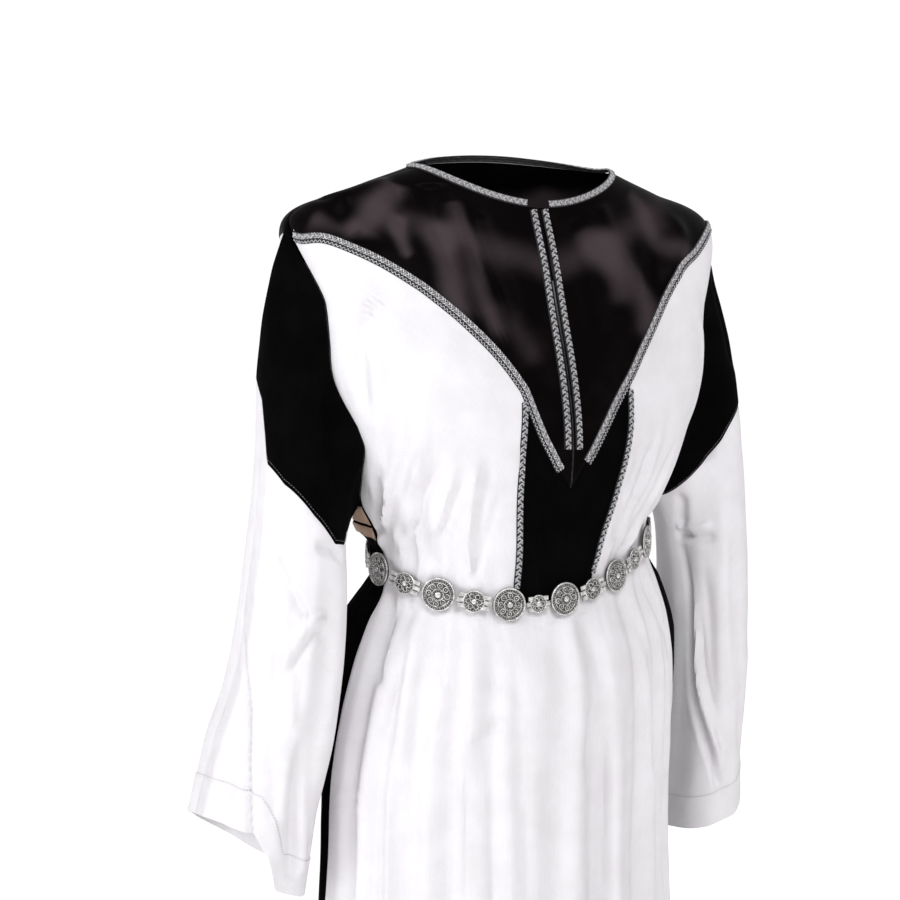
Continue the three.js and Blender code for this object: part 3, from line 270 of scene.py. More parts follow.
# %% Crease lines: width, depth and a path of (angle, level) places
CREASES = [
    (7, -5.0, [(-39.8, 2.04), (-45, 2.43), (-52, 2.83), (-55.8, 3.14), (-57.7, 3.39), (-57.9, 3.66),
               (-58.7, 3.99), (-61.4, 4.47)]),
    (9, 2.0, [(-36, 2.2), (-41, 2.6), (-47.5, 3.0), (-51.5, 3.4), (-53, 3.8), (-54, 4.3)]),
    (6, -2.6, [(-49.8, 3.95), (-53.9, 4.51), (-61, 5.22), (-65.6, 5.48)]),
    (5, -4.5, [(-66, 5.3), (-70, 5.8), (-76, 6.3), (-84.7, 7.5)]),
    (5, -2.4, [(-49.3, 4.46), (-58.4, 5.39), (-69.7, 6.32), (-81.1, 8.02)]),
    (6, -2.8, [(-42.8, 3.97), (-46, 4.53), (-57.8, 5.65), (-69.5, 6.96), (-79, 8.14)]),
    (8, -3.4, [(-35.5, 4.31), (-43.6, 5.16), (-53.2, 5.89), (-61.7, 7.16), (-66.4, 8.37)]),
    (7, -3.0, [(-32.1, 4.83), (-35.7, 5.33), (-43, 5.98), (-51.3, 7), (-57, 8)]),
    (7, -3.2, [(-22.4, 4.19), (-25.5, 4.83), (-30.6, 5.7), (-35.1, 6.76), (-36.7, 8.09)]),
    (4, 2.0, [(-58.1, 4.77), (-63.3, 5.46), (-72.8, 6.45), (-81.2, 8.09)]),
    (5, 2.6, [(-37.5, 3.86), (-41.6, 4.43), (-49.2, 5.16), (-59.7, 5.87), (-71, 6.99),
              (-79.9, 8.26)]),
    (5, 2.6, [(-32.1, 4.43), (-36.1, 5.02), (-42.3, 5.67), (-51, 6.57), (-58.2, 7.93)]),
    (5, 2.4, [(-25.8, 4.24), (-28.5, 4.88), (-32, 5.49), (-35.5, 6.16), (-38.4, 8.11)]),
    (5, -4.0, [(31, 4.1), (27.6, 4.7), (25.2, 5.4), (23.5, 6.1), (23.8, 6.87)]),
    (5, -3.2, [(23.2, 4.03), (23.4, 4.69), (20.8, 5.27), (20.7, 6.15), (21.2, 6.76)]),
    (6, 3.0, [(33, 3.9), (30.5, 4.6), (28, 5.3), (26.2, 6), (26.8, 6.9)]),
    (6, -3.4, [(44, 4.5), (39, 5.4), (35.5, 6.4), (33.8, 7.9)]),
    (6, 1.8, [(40.1, 2.19), (48, 2.7), (57, 3.3), (60, 4.0), (56, 4.9)]),
    (8, -2.6, [(58, 4.2), (52, 5.2), (46, 6.3), (44, 7.8)]),
    (7, -4.0, [(-70.2, 8.9), (-74, 9.44), (-75.1, 9.9), (-72.3, 10.17)]),
    (8, -2.6, [(-47.6, 8.9), (-47.6, 9.52), (-46.8, 10.02)]),
    (6, 2.6, [(-60, 8.95), (-65, 9.5), (-68, 10.1), (-68, 10.7)]),
    (9, -3.6, [(-57.7, 10.6), (-56.4, 11.15), (-55.5, 11.7), (-55, 12.6)]),
    (10, -5.0, [(-35.5, 10.5), (-34, 11.1), (-33, 11.65), (-32.5, 12.8)]),
    (9, 3.0, [(-29, 10.6), (-28, 11.2), (-27.2, 12), (-26.5, 12.9)]),
    (6, -5.5, [(14, 10.3), (14.2, 11.22), (14.3, 11.8), (14, 12.9)]),
    (8, 3.2, [(18.6, 10.2), (18.9, 11.2), (19, 12), (18.6, 13)]),
    (8, -4.0, [(32.7, 9.1), (36.5, 9.8), (40.8, 10.58), (37.3, 11.2)]),
    (8, -4.2, [(48.6, 8.9), (54, 9.5), (62.1, 10.27), (64, 11)]),
    (7, -2.4, [(9.4, 10.2), (8.4, 10.49), (5.8, 10.9)]),
    (9, -3.0, [(-24.8, 8.85), (-26.2, 9.42), (-27.3, 10.05)]),
    (4, 1.6, [(-92, 11.33), (-83.7, 11.21), (-72, 11.18)]),
    (4, 1.4, [(-92, 11.45), (-83.4, 11.35), (-71.6, 11.3)]),
    (6, -2.6, [(-20, 10.28), (-27, 10.35), (-33, 10.6)]),
    # Long narrow folds that the belt draws in, and wide ones that fall from it.
    (4, 2.4, [(-44, 4.4), (-69, 6.0), (-82, 7.2), (-89, 8.1)]),
    (4.5, -3.0, [(-33.5, 4.4), (-49, 5.6), (-63, 6.9), (-73, 8.2)]),
    (4.5, 2.4, [(-24.5, 4.5), (-37.5, 5.6), (-49, 6.8), (-58, 8.2)]),
    (4.5, -2.6, [(-20.5, 4.9), (-27, 5.8), (-33, 6.9), (-37.5, 8.1)]),
    (4.5, 2.6, [(44.5, 4.9), (44, 5.9), (40, 7.1), (36, 8.2)]),
    (4.5, -2.6, [(35, 4.9), (28, 5.7), (25, 6.6), (23, 8.1)]),
    (7, 2.6, [(-60.5, 8.9), (-59, 10.1), (-55.5, 11.2), (-54, 12.4)]),
    (8, -3.0, [(-21.5, 8.9), (-19, 10.3), (-14, 11.6), (-13, 13)]),
    (7, 2.8, [(35.5, 8.9), (34.5, 10.3), (37.5, 11.4), (38, 13)]),
    # The satin yoke, with soft folds that run from the neck and the shoulders to its edge.
    (14, 4.0, [(-72, 0.5), (-75.5, 0.8), (-79, 1.2), (-78.5, 1.8)]),
    (14, -3.7, [(-60, 0.2), (-56, 0.34), (-40, 1), (-23.5, 1.8)]),
    (12, -4.1, [(-62, 0.6), (-60.5, 0.84), (-53, 1.48), (-56.5, 1.9)]),
    (14, 3.9, [(-44, 0.3), (-39, 0.6), (-26.5, 1.3), (-15.5, 2.2)]),
    (8, -3.4, [(-73, 1.2), (-70.5, 1.36), (-61.5, 1.68), (-53, 1.9)]),
    (14, 3.9, [(31, 0.1), (29.5, 0.36), (25, 1.26), (24, 2.1)]),
    (14, -3.2, [(14, 0.2), (13.5, 0.48), (10.5, 1.6), (11, 2.6)]),
    (14, -3.9, [(60, 0.9), (51, 1.18), (35.5, 1.54), (27, 2.1)]),
    (12, -3.9, [(-34, 0.3), (-30.5, 0.62), (-16.5, 1.48), (-10.5, 2.3)]),
    (10, -3.4, [(-86, 1.4), (-80, 1.5), (-68, 1.64), (-62.5, 1.95)]),
    (10, 3.0, [(-66, 0.9), (-58, 1.2), (-50, 1.7)]),
    (12, 3.2, [(64, 1.2), (52, 1.5), (42, 1.7), (34, 2.0)]),
    # The back, where the same cloth is drawn in and falls.
    (9, -4.0, [(108, 3.1), (121, 3.7), (127, 4.5), (126, 5.3)]),
    (9, -4.0, [(251, 3.0), (240, 3.6), (234, 4.4), (236, 5.2)]),
    (7, -3.2, [(134, 4.4), (130, 5.3), (127, 6.4), (128, 8)]),
    (6, 2.6, [(142, 4.6), (139, 5.6), (136, 6.7), (137, 8)]),
    (7, -3.4, [(158, 4.7), (156, 5.7), (152, 6.8), (150, 8.1)]),
    (6, -2.8, [(176, 4.9), (173, 5.9), (171, 6.9), (172, 8.1)]),
    (7, 2.6, [(188, 4.6), (187, 5.7), (184, 6.8), (183, 8)]),
    (7, -3.4, [(207, 4.7), (208, 5.7), (211, 6.8), (213, 8)]),
    (6, 2.4, [(220, 4.5), (223, 5.5), (226, 6.6), (227, 8)]),
    (8, -3.6, [(133, 8.9), (129, 9.6), (131, 10.3)]),
    (8, -3.2, [(163, 8.9), (160, 9.5), (159, 10.2), (161, 10.9)]),
    (9, -4.0, [(193, 8.9), (195, 9.6), (196, 10.4), (194, 11.4)]),
    (8, -3.4, [(224, 8.9), (229, 9.6), (228, 10.3)]),
    (9, -4.5, [(148, 10.8), (147, 11.5), (149, 12.5), (150, 13.2)]),
    (9, -4.0, [(208, 10.7), (209, 11.6), (207, 12.6), (206, 13.3)]),
    (9, 3.0, [(176, 10.8), (178, 11.7), (177, 12.8)]),
    (9, -3.0, [(-14, 3.8), (-11, 4.6), (-9, 5.6), (-8, 6.8)]),
]
CREASE_GAIN = 1.25        # every crease is pressed this much deeper than its row says


def crease_shift(points, lines):
    """How far each point moves out, or in where it is negative, for the creases near it."""
    flat = points.reshape(-1, 3)
    shift = np.zeros(len(flat))
    for line, width, depth in lines:
        low, high = line.min(axis=0) - 4 * width, line.max(axis=0) + 4 * width
        near = np.flatnonzero(((flat > low) & (flat < high)).all(axis=1))
        best, place = np.full(len(near), 1e9), np.zeros(len(near))
        for k in range(len(line) - 1):
            step = line[k + 1] - line[k]
            share = np.clip((flat[near] - line[k]) @ step / (step @ step), 0, 1)
            gap = np.linalg.norm(flat[near] - line[k] - share[:, None] * step, axis=1)
            place = np.where(gap < best, (k + share) / (len(line) - 1), place)
            best = np.minimum(gap, best)
        ends = smooth(place / 0.3) * smooth((1 - place) / 0.16)
        wide = (best / width) ** 2
        shift[near] += depth * ends * (1 - 0.45 * wide) * np.exp(-0.7 * wide)
    return shift.reshape(points.shape[:-1])


def fine_path(places, surface, steps=8):
    """A path of places turned into points on a surface, with more of them between."""
    places = np.array(places, float)
    at = np.linspace(0, len(places) - 1, (len(places) - 1) * steps + 1)
    return surface(along(places[:, 0], at), along(places[:, 1], at))


def crease_lines(rows, surface, gain=CREASE_GAIN):
    """Rows of a table, with each path as points on the surface."""
    return [(fine_path(path, surface), width, gain * depth) for width, depth, path in rows]


body_lines = crease_lines(CREASES, body_point)
print("creases on the body:", len(body_lines))

# %% [markdown]
# ## Soft unevenness
# No worn cloth is smooth between its creases. A field of smoothed random numbers, read at the
# points themselves, gives it slow swells; the seed is fixed, so every run has the same ones.

# %% Slow swells and small gathers at the belt
NOISE_CELLS = 24


def swell(points, size, seed):
    """Smooth noise from -1 to 1, with features about size millimetres across."""
    lattice = np.random.default_rng(seed).uniform(-1, 1, [NOISE_CELLS] * 3)
    cell = np.floor(points / size).astype(int)
    f = smooth(points / size - cell)
    total = 0
    for corner in np.ndindex(2, 2, 2):
        weight = np.prod(np.where(np.array(corner) == 1, f, 1 - f), axis=-1)
        total = total + weight * lattice[tuple(np.moveaxis((cell + corner) % NOISE_CELLS, -1, 0))]
    return total


def unevenness(points):
    """Millimetres of slow swells, wide and low ones together with smaller ones."""
    return 1.5 * swell(points, 75, 3) + 0.6 * swell(points, 28, 5)


def off_belt(level):
    """0 where the belt presses the cloth flat, 1 away from it."""
    return 1 - np.exp(-((level - BELT_LEVEL) / 0.75) ** 2)


def gathers(angle, level):
    """Small tucks that fan out above and below the belt, each with its own length."""
    rng = np.random.default_rng(11)
    depth = np.zeros(np.broadcast(angle, level).shape)
    for centre in np.arange(-180, 180, 5.5):
        centre = centre + rng.uniform(-1.8, 1.8)
        width, size = rng.uniform(1.5, 2.6), rng.uniform(0.8, 2.0)
        up, down = rng.uniform(0.8, 1.9), rng.uniform(0.35, 1.0)
        lean = rng.uniform(-2.5, 2.5)
        away = angle - centre - lean * (level - BELT_LEVEL)
        away = away - 360 * np.round(away / 360)
        fade = np.where(level < BELT_LEVEL, (BELT_TOP - level) / up, (level - BELT_BOTTOM) / down)
        depth = depth + size * np.exp(-(away / width) ** 2) * (1 - smooth(fade))
    return depth


print("sample swell:", round(float(swell(np.array([10.0, 20.0, 30.0]), 70, 3)), 3))

# %% [markdown]
# ## Short ways to build node trees
# Materials and Geometry Nodes are both graphs. One small class adds nodes to either, and another
# wraps a socket so that shader maths can be written as plain expressions.

# %% A graph of nodes, and a wire that can be added and multiplied
class Wire:
    """An output socket. Arithmetic on it adds Math nodes."""

    def __init__(self, graph, socket):
        self.graph, self.socket = graph, socket

    def math(self, operation, first, second=None):
        inputs = {0: first} if second is None else {0: first, 1: second}
        return self.graph.node("ShaderNodeMath", {"operation": operation}, inputs)

    def __add__(self, other): return self.math("ADD", self, other)
    def __radd__(self, other): return self.math("ADD", other, self)
    def __sub__(self, other): return self.math("SUBTRACT", self, other)
    def __rsub__(self, other): return self.math("SUBTRACT", other, self)
    def __mul__(self, other): return self.math("MULTIPLY", self, other)
    def sine(self): return self.math("SINE", self)


class Graph:
    """A node tree and one method that adds a node to it."""

    def __init__(self, tree):
        self.tree = tree

    def node(self, kind, settings=None, inputs=None, output=0):
        made = self.tree.nodes.new(kind)
        for key, value in (settings or {}).items():
            setattr(made, key, value)
        for key, value in (inputs or {}).items():
            if isinstance(value, Wire):
                self.tree.links.new(value.socket, made.inputs[key])
            else:
                made.inputs[key].default_value = value
        return Wire(self, made.outputs[output]) if len(made.outputs) else None


class Finish(Graph):
    """A material that is being made."""

    def __init__(self, name):
        self.material = bpy.data.materials.new(name)
        self.material.use_nodes = True
        super().__init__(self.material.node_tree)
        self.tree.nodes.clear()

    def place(self):
        return self.node("ShaderNodeTexCoord", output="Object")

    def noise(self, where, scale, detail=3.0, roughness=0.55):
        inputs = {"Vector": where, "Scale": scale, "Detail": detail, "Roughness": roughness}
        return self.node("ShaderNodeTexNoise", None, inputs)

    def ramp(self, value, low, high):
        """0 below low, 1 above high, with a soft step between."""
        inputs = {"Value": value, "From Min": low, "From Max": high}
        settings = {"interpolation_type": "SMOOTHSTEP", "clamp": True}
        return self.node("ShaderNodeMapRange", settings, inputs)

    def blend(self, share, first, second):
        inputs = {0: share, 6: first, 7: second}
        return self.node("ShaderNodeMix", {"data_type": "RGBA"}, inputs, 2)

    def weave(self):
        """The piece's own UV map, in metres along the cloth."""
        return self.node("ShaderNodeUVMap", {"uv_map": "weave"})

    def floats(self, uv, across, down):
        """Noise drawn out along one direction of the cloth."""
        drawn = self.node("ShaderNodeMapping", None, {"Vector": uv, "Scale": (across, down, 1.0)})
        return self.noise(drawn, 1.0, 2.0)

    def threads(self, pitch):
        """The two thread directions of a weave, as waves that follow the UV map."""
        split = self.node("ShaderNodeSeparateXYZ", None, {0: self.weave()})
        other = Wire(self, split.socket.node.outputs[1])
        turn = 2 * math.pi / pitch
        return (split * turn).sine(), (other * turn).sine()

    def surface(self, colour, roughness, height=None, relief=0.0002, **constants):
        inputs = {"Base Color": colour, "Roughness": roughness}
        inputs.update({key.replace("_", " "): value for key, value in constants.items()})
        if height is not None:
            bump = {"Strength": 1.0, "Distance": relief, "Height": height}
            inputs["Normal"] = self.node("ShaderNodeBump", None, bump)
        shader = self.node("ShaderNodeBsdfPrincipled", None, inputs)
        self.node("ShaderNodeOutputMaterial", None, {"Surface": shader})
        print("finish:", self.material.name)
        return self.material


print("helpers for node trees:", Wire.__name__, Graph.__name__, Finish.__name__)

# %% [markdown]
# ## Cloth finishes
# Plain woven cotton has fine threads in two directions, a few thicker ones that catch the light,
# and a dry, slightly fuzzy face. The weave reads each piece's UV map, which runs in metres along
# the cloth, so it keeps one scale on every piece. Satin is smoother, with long floating threads;
# its broad soft sheen is a painted highlight, a lighter colour mixed in along painted sheen lines.

# %% White and black cotton, satin and the tan strips
def woven(name, light, dark, roughness, relief, shine, pitch=0.0009):
    finish = Finish(name)
    where = finish.place()
    warp, weft = finish.threads(pitch)
    uv = finish.weave()
    slub = finish.floats(uv, 900.0, 28.0) * 0.5 + finish.floats(uv, 28.0, 900.0) * 0.5
    cloud = finish.noise(where, 34.0, 4.0)
    height = warp * weft * 0.25 + slub * 1.1 + cloud * 1.4
    tone = finish.ramp(slub * 0.5 + cloud * 0.5, 0.38, 0.62)
    colour = finish.blend(tone, dark, light)
    return finish.surface(colour, roughness + cloud * 0.08, height, relief,
                          Specular_IOR_Level=shine)


white_cotton = woven("white_cotton", (0.745, 0.725, 0.745, 1), (0.70, 0.672, 0.695, 1),
                     roughness=0.85, relief=0.00025, shine=0.1)
black_cotton = woven("black_cotton", (0.0022, 0.0019, 0.0021, 1), (0.0011, 0.001, 0.001, 1),
                     roughness=0.7, relief=0.0002, shine=0.012)
tan_cloth = woven("tan_cloth", (0.50, 0.36, 0.27, 1), (0.34, 0.23, 0.17, 1),
                  roughness=0.85, relief=0.0003, shine=0.1)


def satin(name):
    finish = Finish(name)
    # painted sheen: the attribute lightens the colour where a highlight would fall, a painted
    # highlight
    sheen = finish.node("ShaderNodeAttribute", {"attribute_name": "sheen"}, output="Fac")
    thread = finish.floats(finish.weave(), 1500.0, 60.0)
    cloud = finish.noise(finish.place(), 22.0, 4.0)
    share = finish.ramp(sheen + (cloud - 0.5) * 0.5, -0.05, 1.05)
    # near black is the satin's own colour; the lighter grey is the painted highlight
    colour = finish.blend(share, (0.0016, 0.0011, 0.0012, 1), (0.046, 0.035, 0.038, 1))
    return finish.surface(colour, 0.30 + cloud * 0.14, thread + cloud * 3.0, 0.00018,
                          Specular_IOR_Level=0.02, Specular_Tint=(1.0, 0.82, 0.86, 1))


black_satin = satin("black_satin")

# %% [markdown]
# ## Thread and silver finishes
# Silver thread is a thin metal strip wound on silk, so it glints in small flecks. The belt is old
# silver: bright on its raised wires and beads, and dark in the ground between them.

# %% Threads and old silver
def thread(name, light, dark, metallic, roughness):
    finish = Finish(name)
    fleck = finish.noise(finish.place(), 1400.0, 2.0)
    share = finish.ramp(fleck, 0.4, 0.62)
    return finish.surface(finish.blend(share, dark, light), roughness + fleck * 0.25, fleck, 0.0002,
                          Metallic=metallic)


silver_thread = thread("silver_thread", (0.74, 0.73, 0.75, 1), (0.22, 0.21, 0.22, 1), 0.55, 0.3)
black_thread = thread("black_thread", (0.02, 0.02, 0.022, 1), (0.006, 0.006, 0.007, 1), 0.0, 0.7)
white_thread = thread("white_thread", (0.86, 0.85, 0.87, 1), (0.72, 0.70, 0.73, 1), 0.0, 0.75)
grey_thread = thread("grey_thread", (0.36, 0.34, 0.35, 1), (0.12, 0.11, 0.115, 1), 0.2, 0.6)


def old_silver(name, light, dark, scale):
    finish = Finish(name)
    where = finish.place()
    wear = finish.ramp(finish.noise(where, scale, 4.0, 0.65), 0.36, 0.64)
    fine = finish.noise(where, 1800.0, 2.0)
    return finish.surface(finish.blend(wear, dark, light), 0.46 - wear * 0.2 + fine * 0.1, fine,
                          0.00008, Metallic=1.0)


bright_silver = old_silver("bright_silver", (0.78, 0.77, 0.75, 1), (0.42, 0.41, 0.40, 1), 260.0)
dark_silver = old_silver("dark_silver", (0.16, 0.155, 0.15, 1), (0.05, 0.05, 0.05, 1), 320.0)

# %% [markdown]
# ## From a grid of points to a shell of cloth
# Every cut piece is a grid of points on its form. The shell has an outer and an inner face and a
# rim round every edge, so that the cloth shows its thickness at the neck, cuffs and hem. Solidify
# would do the same for one piece, but it moves the edges, and here they have to meet.

# %% Build a shell
MM = 0.001
SHELL = 0.9        # thickness of the cloth, with the air in its weave


def surface_normals(points, outward, wrap=False):
    if wrap:
        across = np.roll(points, -1, axis=1) - np.roll(points, 1, axis=1)
    else:
        across = np.gradient(points, axis=1)
    normal = unit(np.cross(across, np.gradient(points, axis=0)))
    return normal * np.sign(np.mean(np.sum(normal * outward, axis=-1)))


def shell_faces(rows, columns, wrap, missing):
    grid = np.arange(rows * columns).reshape(rows, columns)
    cells = columns if wrap else columns - 1
    left, right = grid[:, :cells], np.roll(grid, -1, axis=1)[:, :cells]
    here = np.ones((rows - 1, cells), bool) if missing is None else ~missing
    a, b, c, d = left[:-1], left[1:], right[1:], right[:-1]
    beside = np.pad(here, 1)
    if wrap:
        beside[1:-1, 0], beside[1:-1, -1] = here[:, -1], here[:, 0]
    count = rows * columns
    outer = np.stack([a, b, c, d], axis=-1)[here]
    faces = [outer, outer[:, ::-1] + count]
    edges = ((a, b, beside[1:-1, :-2]), (b, c, beside[2:, 1:-1]),
             (c, d, beside[1:-1, 2:]), (d, a, beside[:-2, 1:-1]))
    for start, end, neighbour in edges:
        rim = here & ~neighbour
        faces.append(np.stack([end, start, start + count, end + count], axis=-1)[rim])
    return np.concatenate(faces), len(outer)


def cloth_uv(points):
    """Metres across and down the cloth, with the threads kept straight at the middle column."""
    steps = np.linalg.norm(np.diff(points, axis=1), axis=-1)
    across = np.concatenate([np.zeros((len(points), 1)), np.cumsum(steps, axis=1)], axis=1)
    middle = points.shape[1] // 2
    across = across - across[:, middle:middle + 1]
    drops = np.linalg.norm(np.diff(points, axis=0), axis=-1)
    down = np.concatenate([np.zeros((1, points.shape[1])), np.cumsum(drops, axis=0)])
    return np.stack([across, -down], axis=-1) * MM


def new_mesh(name, vertices, faces, material, uv=None, sharp=50):
    mesh = bpy.data.meshes.new(name)
    mesh.from_pydata(np.asarray(vertices).tolist(), [], [list(f) for f in faces])
    mesh.materials.append(material)
    if uv is not None:
        layer = mesh.uv_layers.new(name="weave")
        order = np.zeros(len(mesh.loops), int)
        mesh.loops.foreach_get("vertex_index", order)
        layer.data.foreach_set("uv", np.asarray(uv)[order].ravel())
    mesh.shade_smooth()
    mesh.set_sharp_from_angle(angle=math.radians(sharp))
    mesh.update()
    return mesh


def dress(piece, slot, *nodes):
    """Put a piece on the root body and hide the nodes that it stands for; the slot is not used."""
    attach(piece, "root")
    if nodes:
        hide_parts(*nodes)
    print("piece:", piece.name, "faces", len(piece.data.polygons))
    return piece


def linked(name, data):
    """A new object in the scene."""
    made = bpy.data.objects.new(name, data)
    bpy.context.scene.collection.objects.link(made)
    return made


def facing_out(faces, count, outer, normals):
    """The faces, turned over if the first count of them look into the cloth."""
    corner = outer[faces[:count]]
    facing = np.cross(corner[:, 1] - corner[:, 0], corner[:, 3] - corner[:, 0])
    way = normals.reshape(-1, 3)[faces[:count, 0]]
    return faces[:, ::-1] if np.sum(facing * way) < 0 else faces


def cloth_shell(node, material, points, outward, wrap=False, missing=None):
    """A piece of cloth in place of a node. It's named after the node and the kind of cloth."""
    slot = material.name.split(".")[0]
    name = f"{node}_{slot.split('_')[1]}"
    normals = surface_normals(points, outward, wrap)
    rows, columns = points.shape[:2]
    faces, count = shell_faces(rows, columns, wrap, missing)
    outer, inner = points.reshape(-1, 3), (points - normals * SHELL).reshape(-1, 3)
    faces = facing_out(faces, count, outer, normals)
    used = np.unique(faces)
    places = np.full(2 * rows * columns, -1)
    places[used] = np.arange(len(used))
    uv = cloth_uv(points).reshape(-1, 2)
    mesh = new_mesh(name, np.concatenate([outer, inner])[used] * MM, places[faces], material,
                    np.concatenate([uv, uv])[used])
    return dress(linked(name, mesh), slot, node)


print("cloth is", SHELL, "mm thick")

# %% [markdown]
# ## Settle the cloth on its form
# The form gives the big shape. Creases, gathers and slow swells are pressed into it, a seam pulls
# the cloth down into a shallow groove, and a hem is a second layer, so it stands a little proud.

# %% Settle a grid of body points
SEAM_DEPTH, SEAM_REACH = 0.9, 2.4


def edge_distance(points, side):
    """Millimetres along the cloth from one side of the grid."""
    axis = 0 if side in ("top", "bottom") else 1
    steps = np.linalg.norm(np.diff(points, axis=axis), axis=-1)
    lead = np.zeros((1, points.shape[1])) if axis == 0 else np.zeros((len(points), 1))
    run = np.concatenate([lead, np.cumsum(steps, axis=axis)], axis=axis)
    if side in ("bottom", "end"):
        run = (run[-1:] if axis == 0 else run[:, -1:]) - run
    return run


def seam_groove(points, sides):
    groove = np.zeros(points.shape[:2])
    for side in sides:
        near = np.exp(-(edge_distance(points, side) / SEAM_REACH) ** 2)
        groove = np.minimum(groove, -SEAM_DEPTH * near)
    return groove


def settle(angle, level, seams, hem=0.0, ease=1.0):
    """Points of cloth on the body, and the way out from each."""
    points, normals = body_point(angle, level), body_normal(angle, level)
    shift = crease_shift(points, body_lines) + ease * off_belt(level) * unevenness(points)
    shift = shift - gathers(angle, level) + seam_groove(points, seams)
    if hem:
        shift = shift + 0.7 * smooth((hem - edge_distance(points, "bottom")) / 1.2)
    return points + normals * shift[..., None], normals


def rows_between(start, end, count):
    """Levels from one edge to another, as rows by columns."""
    share = np.linspace(0, 1, count)[:, None]
    return mix(start, end, share)


print("seams are pressed in by", SEAM_DEPTH, "mm")

# %% [markdown]
# ## Front and back panels
# The front is one white piece from the shoulders to the hem, with the black inset let into it. Its
# grid has a column on each of the inset's sides and a row at the belt, so the cut-out has clean
# edges.

# %% White panels
LOWER_LEVELS = np.concatenate([np.linspace(6, 9, 49)[1:], np.linspace(9, 14, 112)[1:]])
BODICE_LEVELS = 58
HEM_DEPTH = 24.0


def front_columns(inner, outer):
    side = np.concatenate([np.linspace(0, INSET_COLUMN, inner + 1)[:-1],
                           np.linspace(INSET_COLUMN, 1, outer + 1)])
    return np.concatenate([-side[:0:-1], side])


def front_levels(columns, lower):
    bodice = rows_between(yoke_edge(columns), UNDERARM, BODICE_LEVELS)
    return np.concatenate([bodice, np.repeat(lower[:, None], len(columns), axis=1)])


columns = front_columns(10, 46)
level = front_levels(columns, LOWER_LEVELS)
angle = front_angle(columns[None, :], level)
belt_row = BODICE_LEVELS + int(np.argmin(abs(LOWER_LEVELS - BELT_LEVEL)))
inside = (columns[:-1] > -INSET_COLUMN - 1e-6) & (columns[1:] < INSET_COLUMN + 1e-6)
cut_out = np.zeros((len(level) - 1, len(columns) - 1), bool)
cut_out[:belt_row, inside] = True
points, outward = settle(angle, level, ["top", "start", "end"], HEM_DEPTH)
cloth_shell("front_panel", white_cotton, points, outward, missing=cut_out)

inset_columns = columns[(columns > -INSET_COLUMN - 1e-6) & (columns < INSET_COLUMN + 1e-6)]
inset_level = front_levels(inset_columns, LOWER_LEVELS)[:belt_row + 1]
points, outward = settle(front_angle(inset_columns[None, :], inset_level), inset_level,
                         ["top", "bottom", "start", "end"])
cloth_shell("front_inset", black_cotton, points, outward)

columns = np.linspace(1, -1, 101)
level = np.concatenate([rows_between(np.full(101, BACK_YOKE_LEVEL), UNDERARM, BODICE_LEVELS),
                        np.repeat(LOWER_LEVELS[:, None], 101, axis=1)])
points, outward = settle(back_angle(columns[None, :], level), level, ["top", "start", "end"],
                         HEM_DEPTH)
cloth_shell("back_panel", white_cotton, points, outward)

# %% [markdown]
# ## Yoke and side gores
# The satin yoke is cut in two front halves that leave the slit open, and one back piece. The gores
# are long black triangles from the underarm to the hem that give the skirt its width.

# %% Satin yoke
SIDES = {"right": -1, "left": 1}
PAINTED_SHEEN = [  # painted sheen, a highlight painted into the satin's colour: width, strength and path
    (16, 0.85, [(-44, 0.7), (-39.5, 1.04), (-30.5, 1.54), (-26.5, 2.06), (-24, 2.4)]),
    (10, 0.7, [(-45, 0.3), (-41, 0.46), (-27.5, 1.1), (-18.5, 2.04), (-15, 2.5)]),
    (15, 0.75, [(-73, 0.5), (-68.5, 0.72), (-61, 1.34), (-54, 1.78)]),
    (8, 0.8, [(-56, 1.0), (-52.5, 1.22), (-44, 1.54), (-40, 1.7)]),
    (13, 0.6, [(-76, 1.9), (-70.5, 1.84), (-62, 1.72), (-56, 1.7)]),
    (16, 0.6, [(60, 0.3), (57, 0.52), (44.5, 1.32), (45.5, 1.76), (44, 2.0)]),
    (18, 0.75, [(28, 0.5), (25, 0.9), (24.5, 1.74), (26, 2.34), (24, 2.7)]),
    (14, 0.45, [(17, 0.4), (17.5, 0.68), (19, 1.44), (18, 2.1)]),
    (14, 0.35, [(-18, 1.7), (-14, 2), (-9.5, 2.4), (-7, 2.8)]),
    (20, 0.7, [(-150, 0.6), (-155, 1.0), (-162, 1.4), (-160, 1.9)]),
    (22, 0.7, [(140, 0.5), (150, 0.9), (160, 1.3), (166, 1.8)]),
    (18, 0.5, [(176, 0.4), (178, 0.9), (-178, 1.4), (-179, 1.8)]),
]
painted_sheen_lines = crease_lines(PAINTED_SHEEN, body_point, gain=1)


def paint_sheen(piece):
    """Give a satin piece the share of painted sheen at each point; its finish paints it in as a
    highlight.
    """
    mesh = piece.data
    places = np.empty(3 * len(mesh.vertices))
    mesh.vertices.foreach_get("co", places)
    share = crease_shift(places.reshape(-1, 3) / MM, painted_sheen_lines)
    mesh.attributes.new("sheen", "FLOAT", "POINT").data.foreach_set("value", share)
    print("sheen:", piece.name, round(float(share.max()), 2))


for name, side in SIDES.items():
    columns = side * np.concatenate([np.linspace(SLIT_COLUMN, INSET_COLUMN, 15)[:-1],
                                     np.linspace(INSET_COLUMN, 1, 50)])
    level = rows_between(np.zeros(len(columns)), yoke_edge(columns), 72)
    points, outward = settle(front_angle(columns[None, :], level), level, ["bottom", "end"],
                             ease=0.8)
    paint_sheen(cloth_shell(f"front_yoke_{name}", black_satin, points, outward))
columns = np.linspace(1, -1, 101)
level = rows_between(np.zeros(101), np.full(101, BACK_YOKE_LEVEL), 40)
points, outward = settle(back_angle(columns[None, :], level), level, ["bottom", "start", "end"])
paint_sheen(cloth_shell("back_yoke", black_satin, points, outward))

# %% Black gores
gore_level = np.repeat(np.concatenate([[6.0], LOWER_LEVELS])[:, None], 26, axis=1)
for name, side in SIDES.items():
    angle = side_angle(side, gore_level, np.linspace(0, 1, 26)[None, :])
    points, outward = settle(angle, gore_level, ["top", "start", "end"], HEM_DEPTH)
    cloth_shell(f"side_gore_{name}", black_cotton, points, outward)

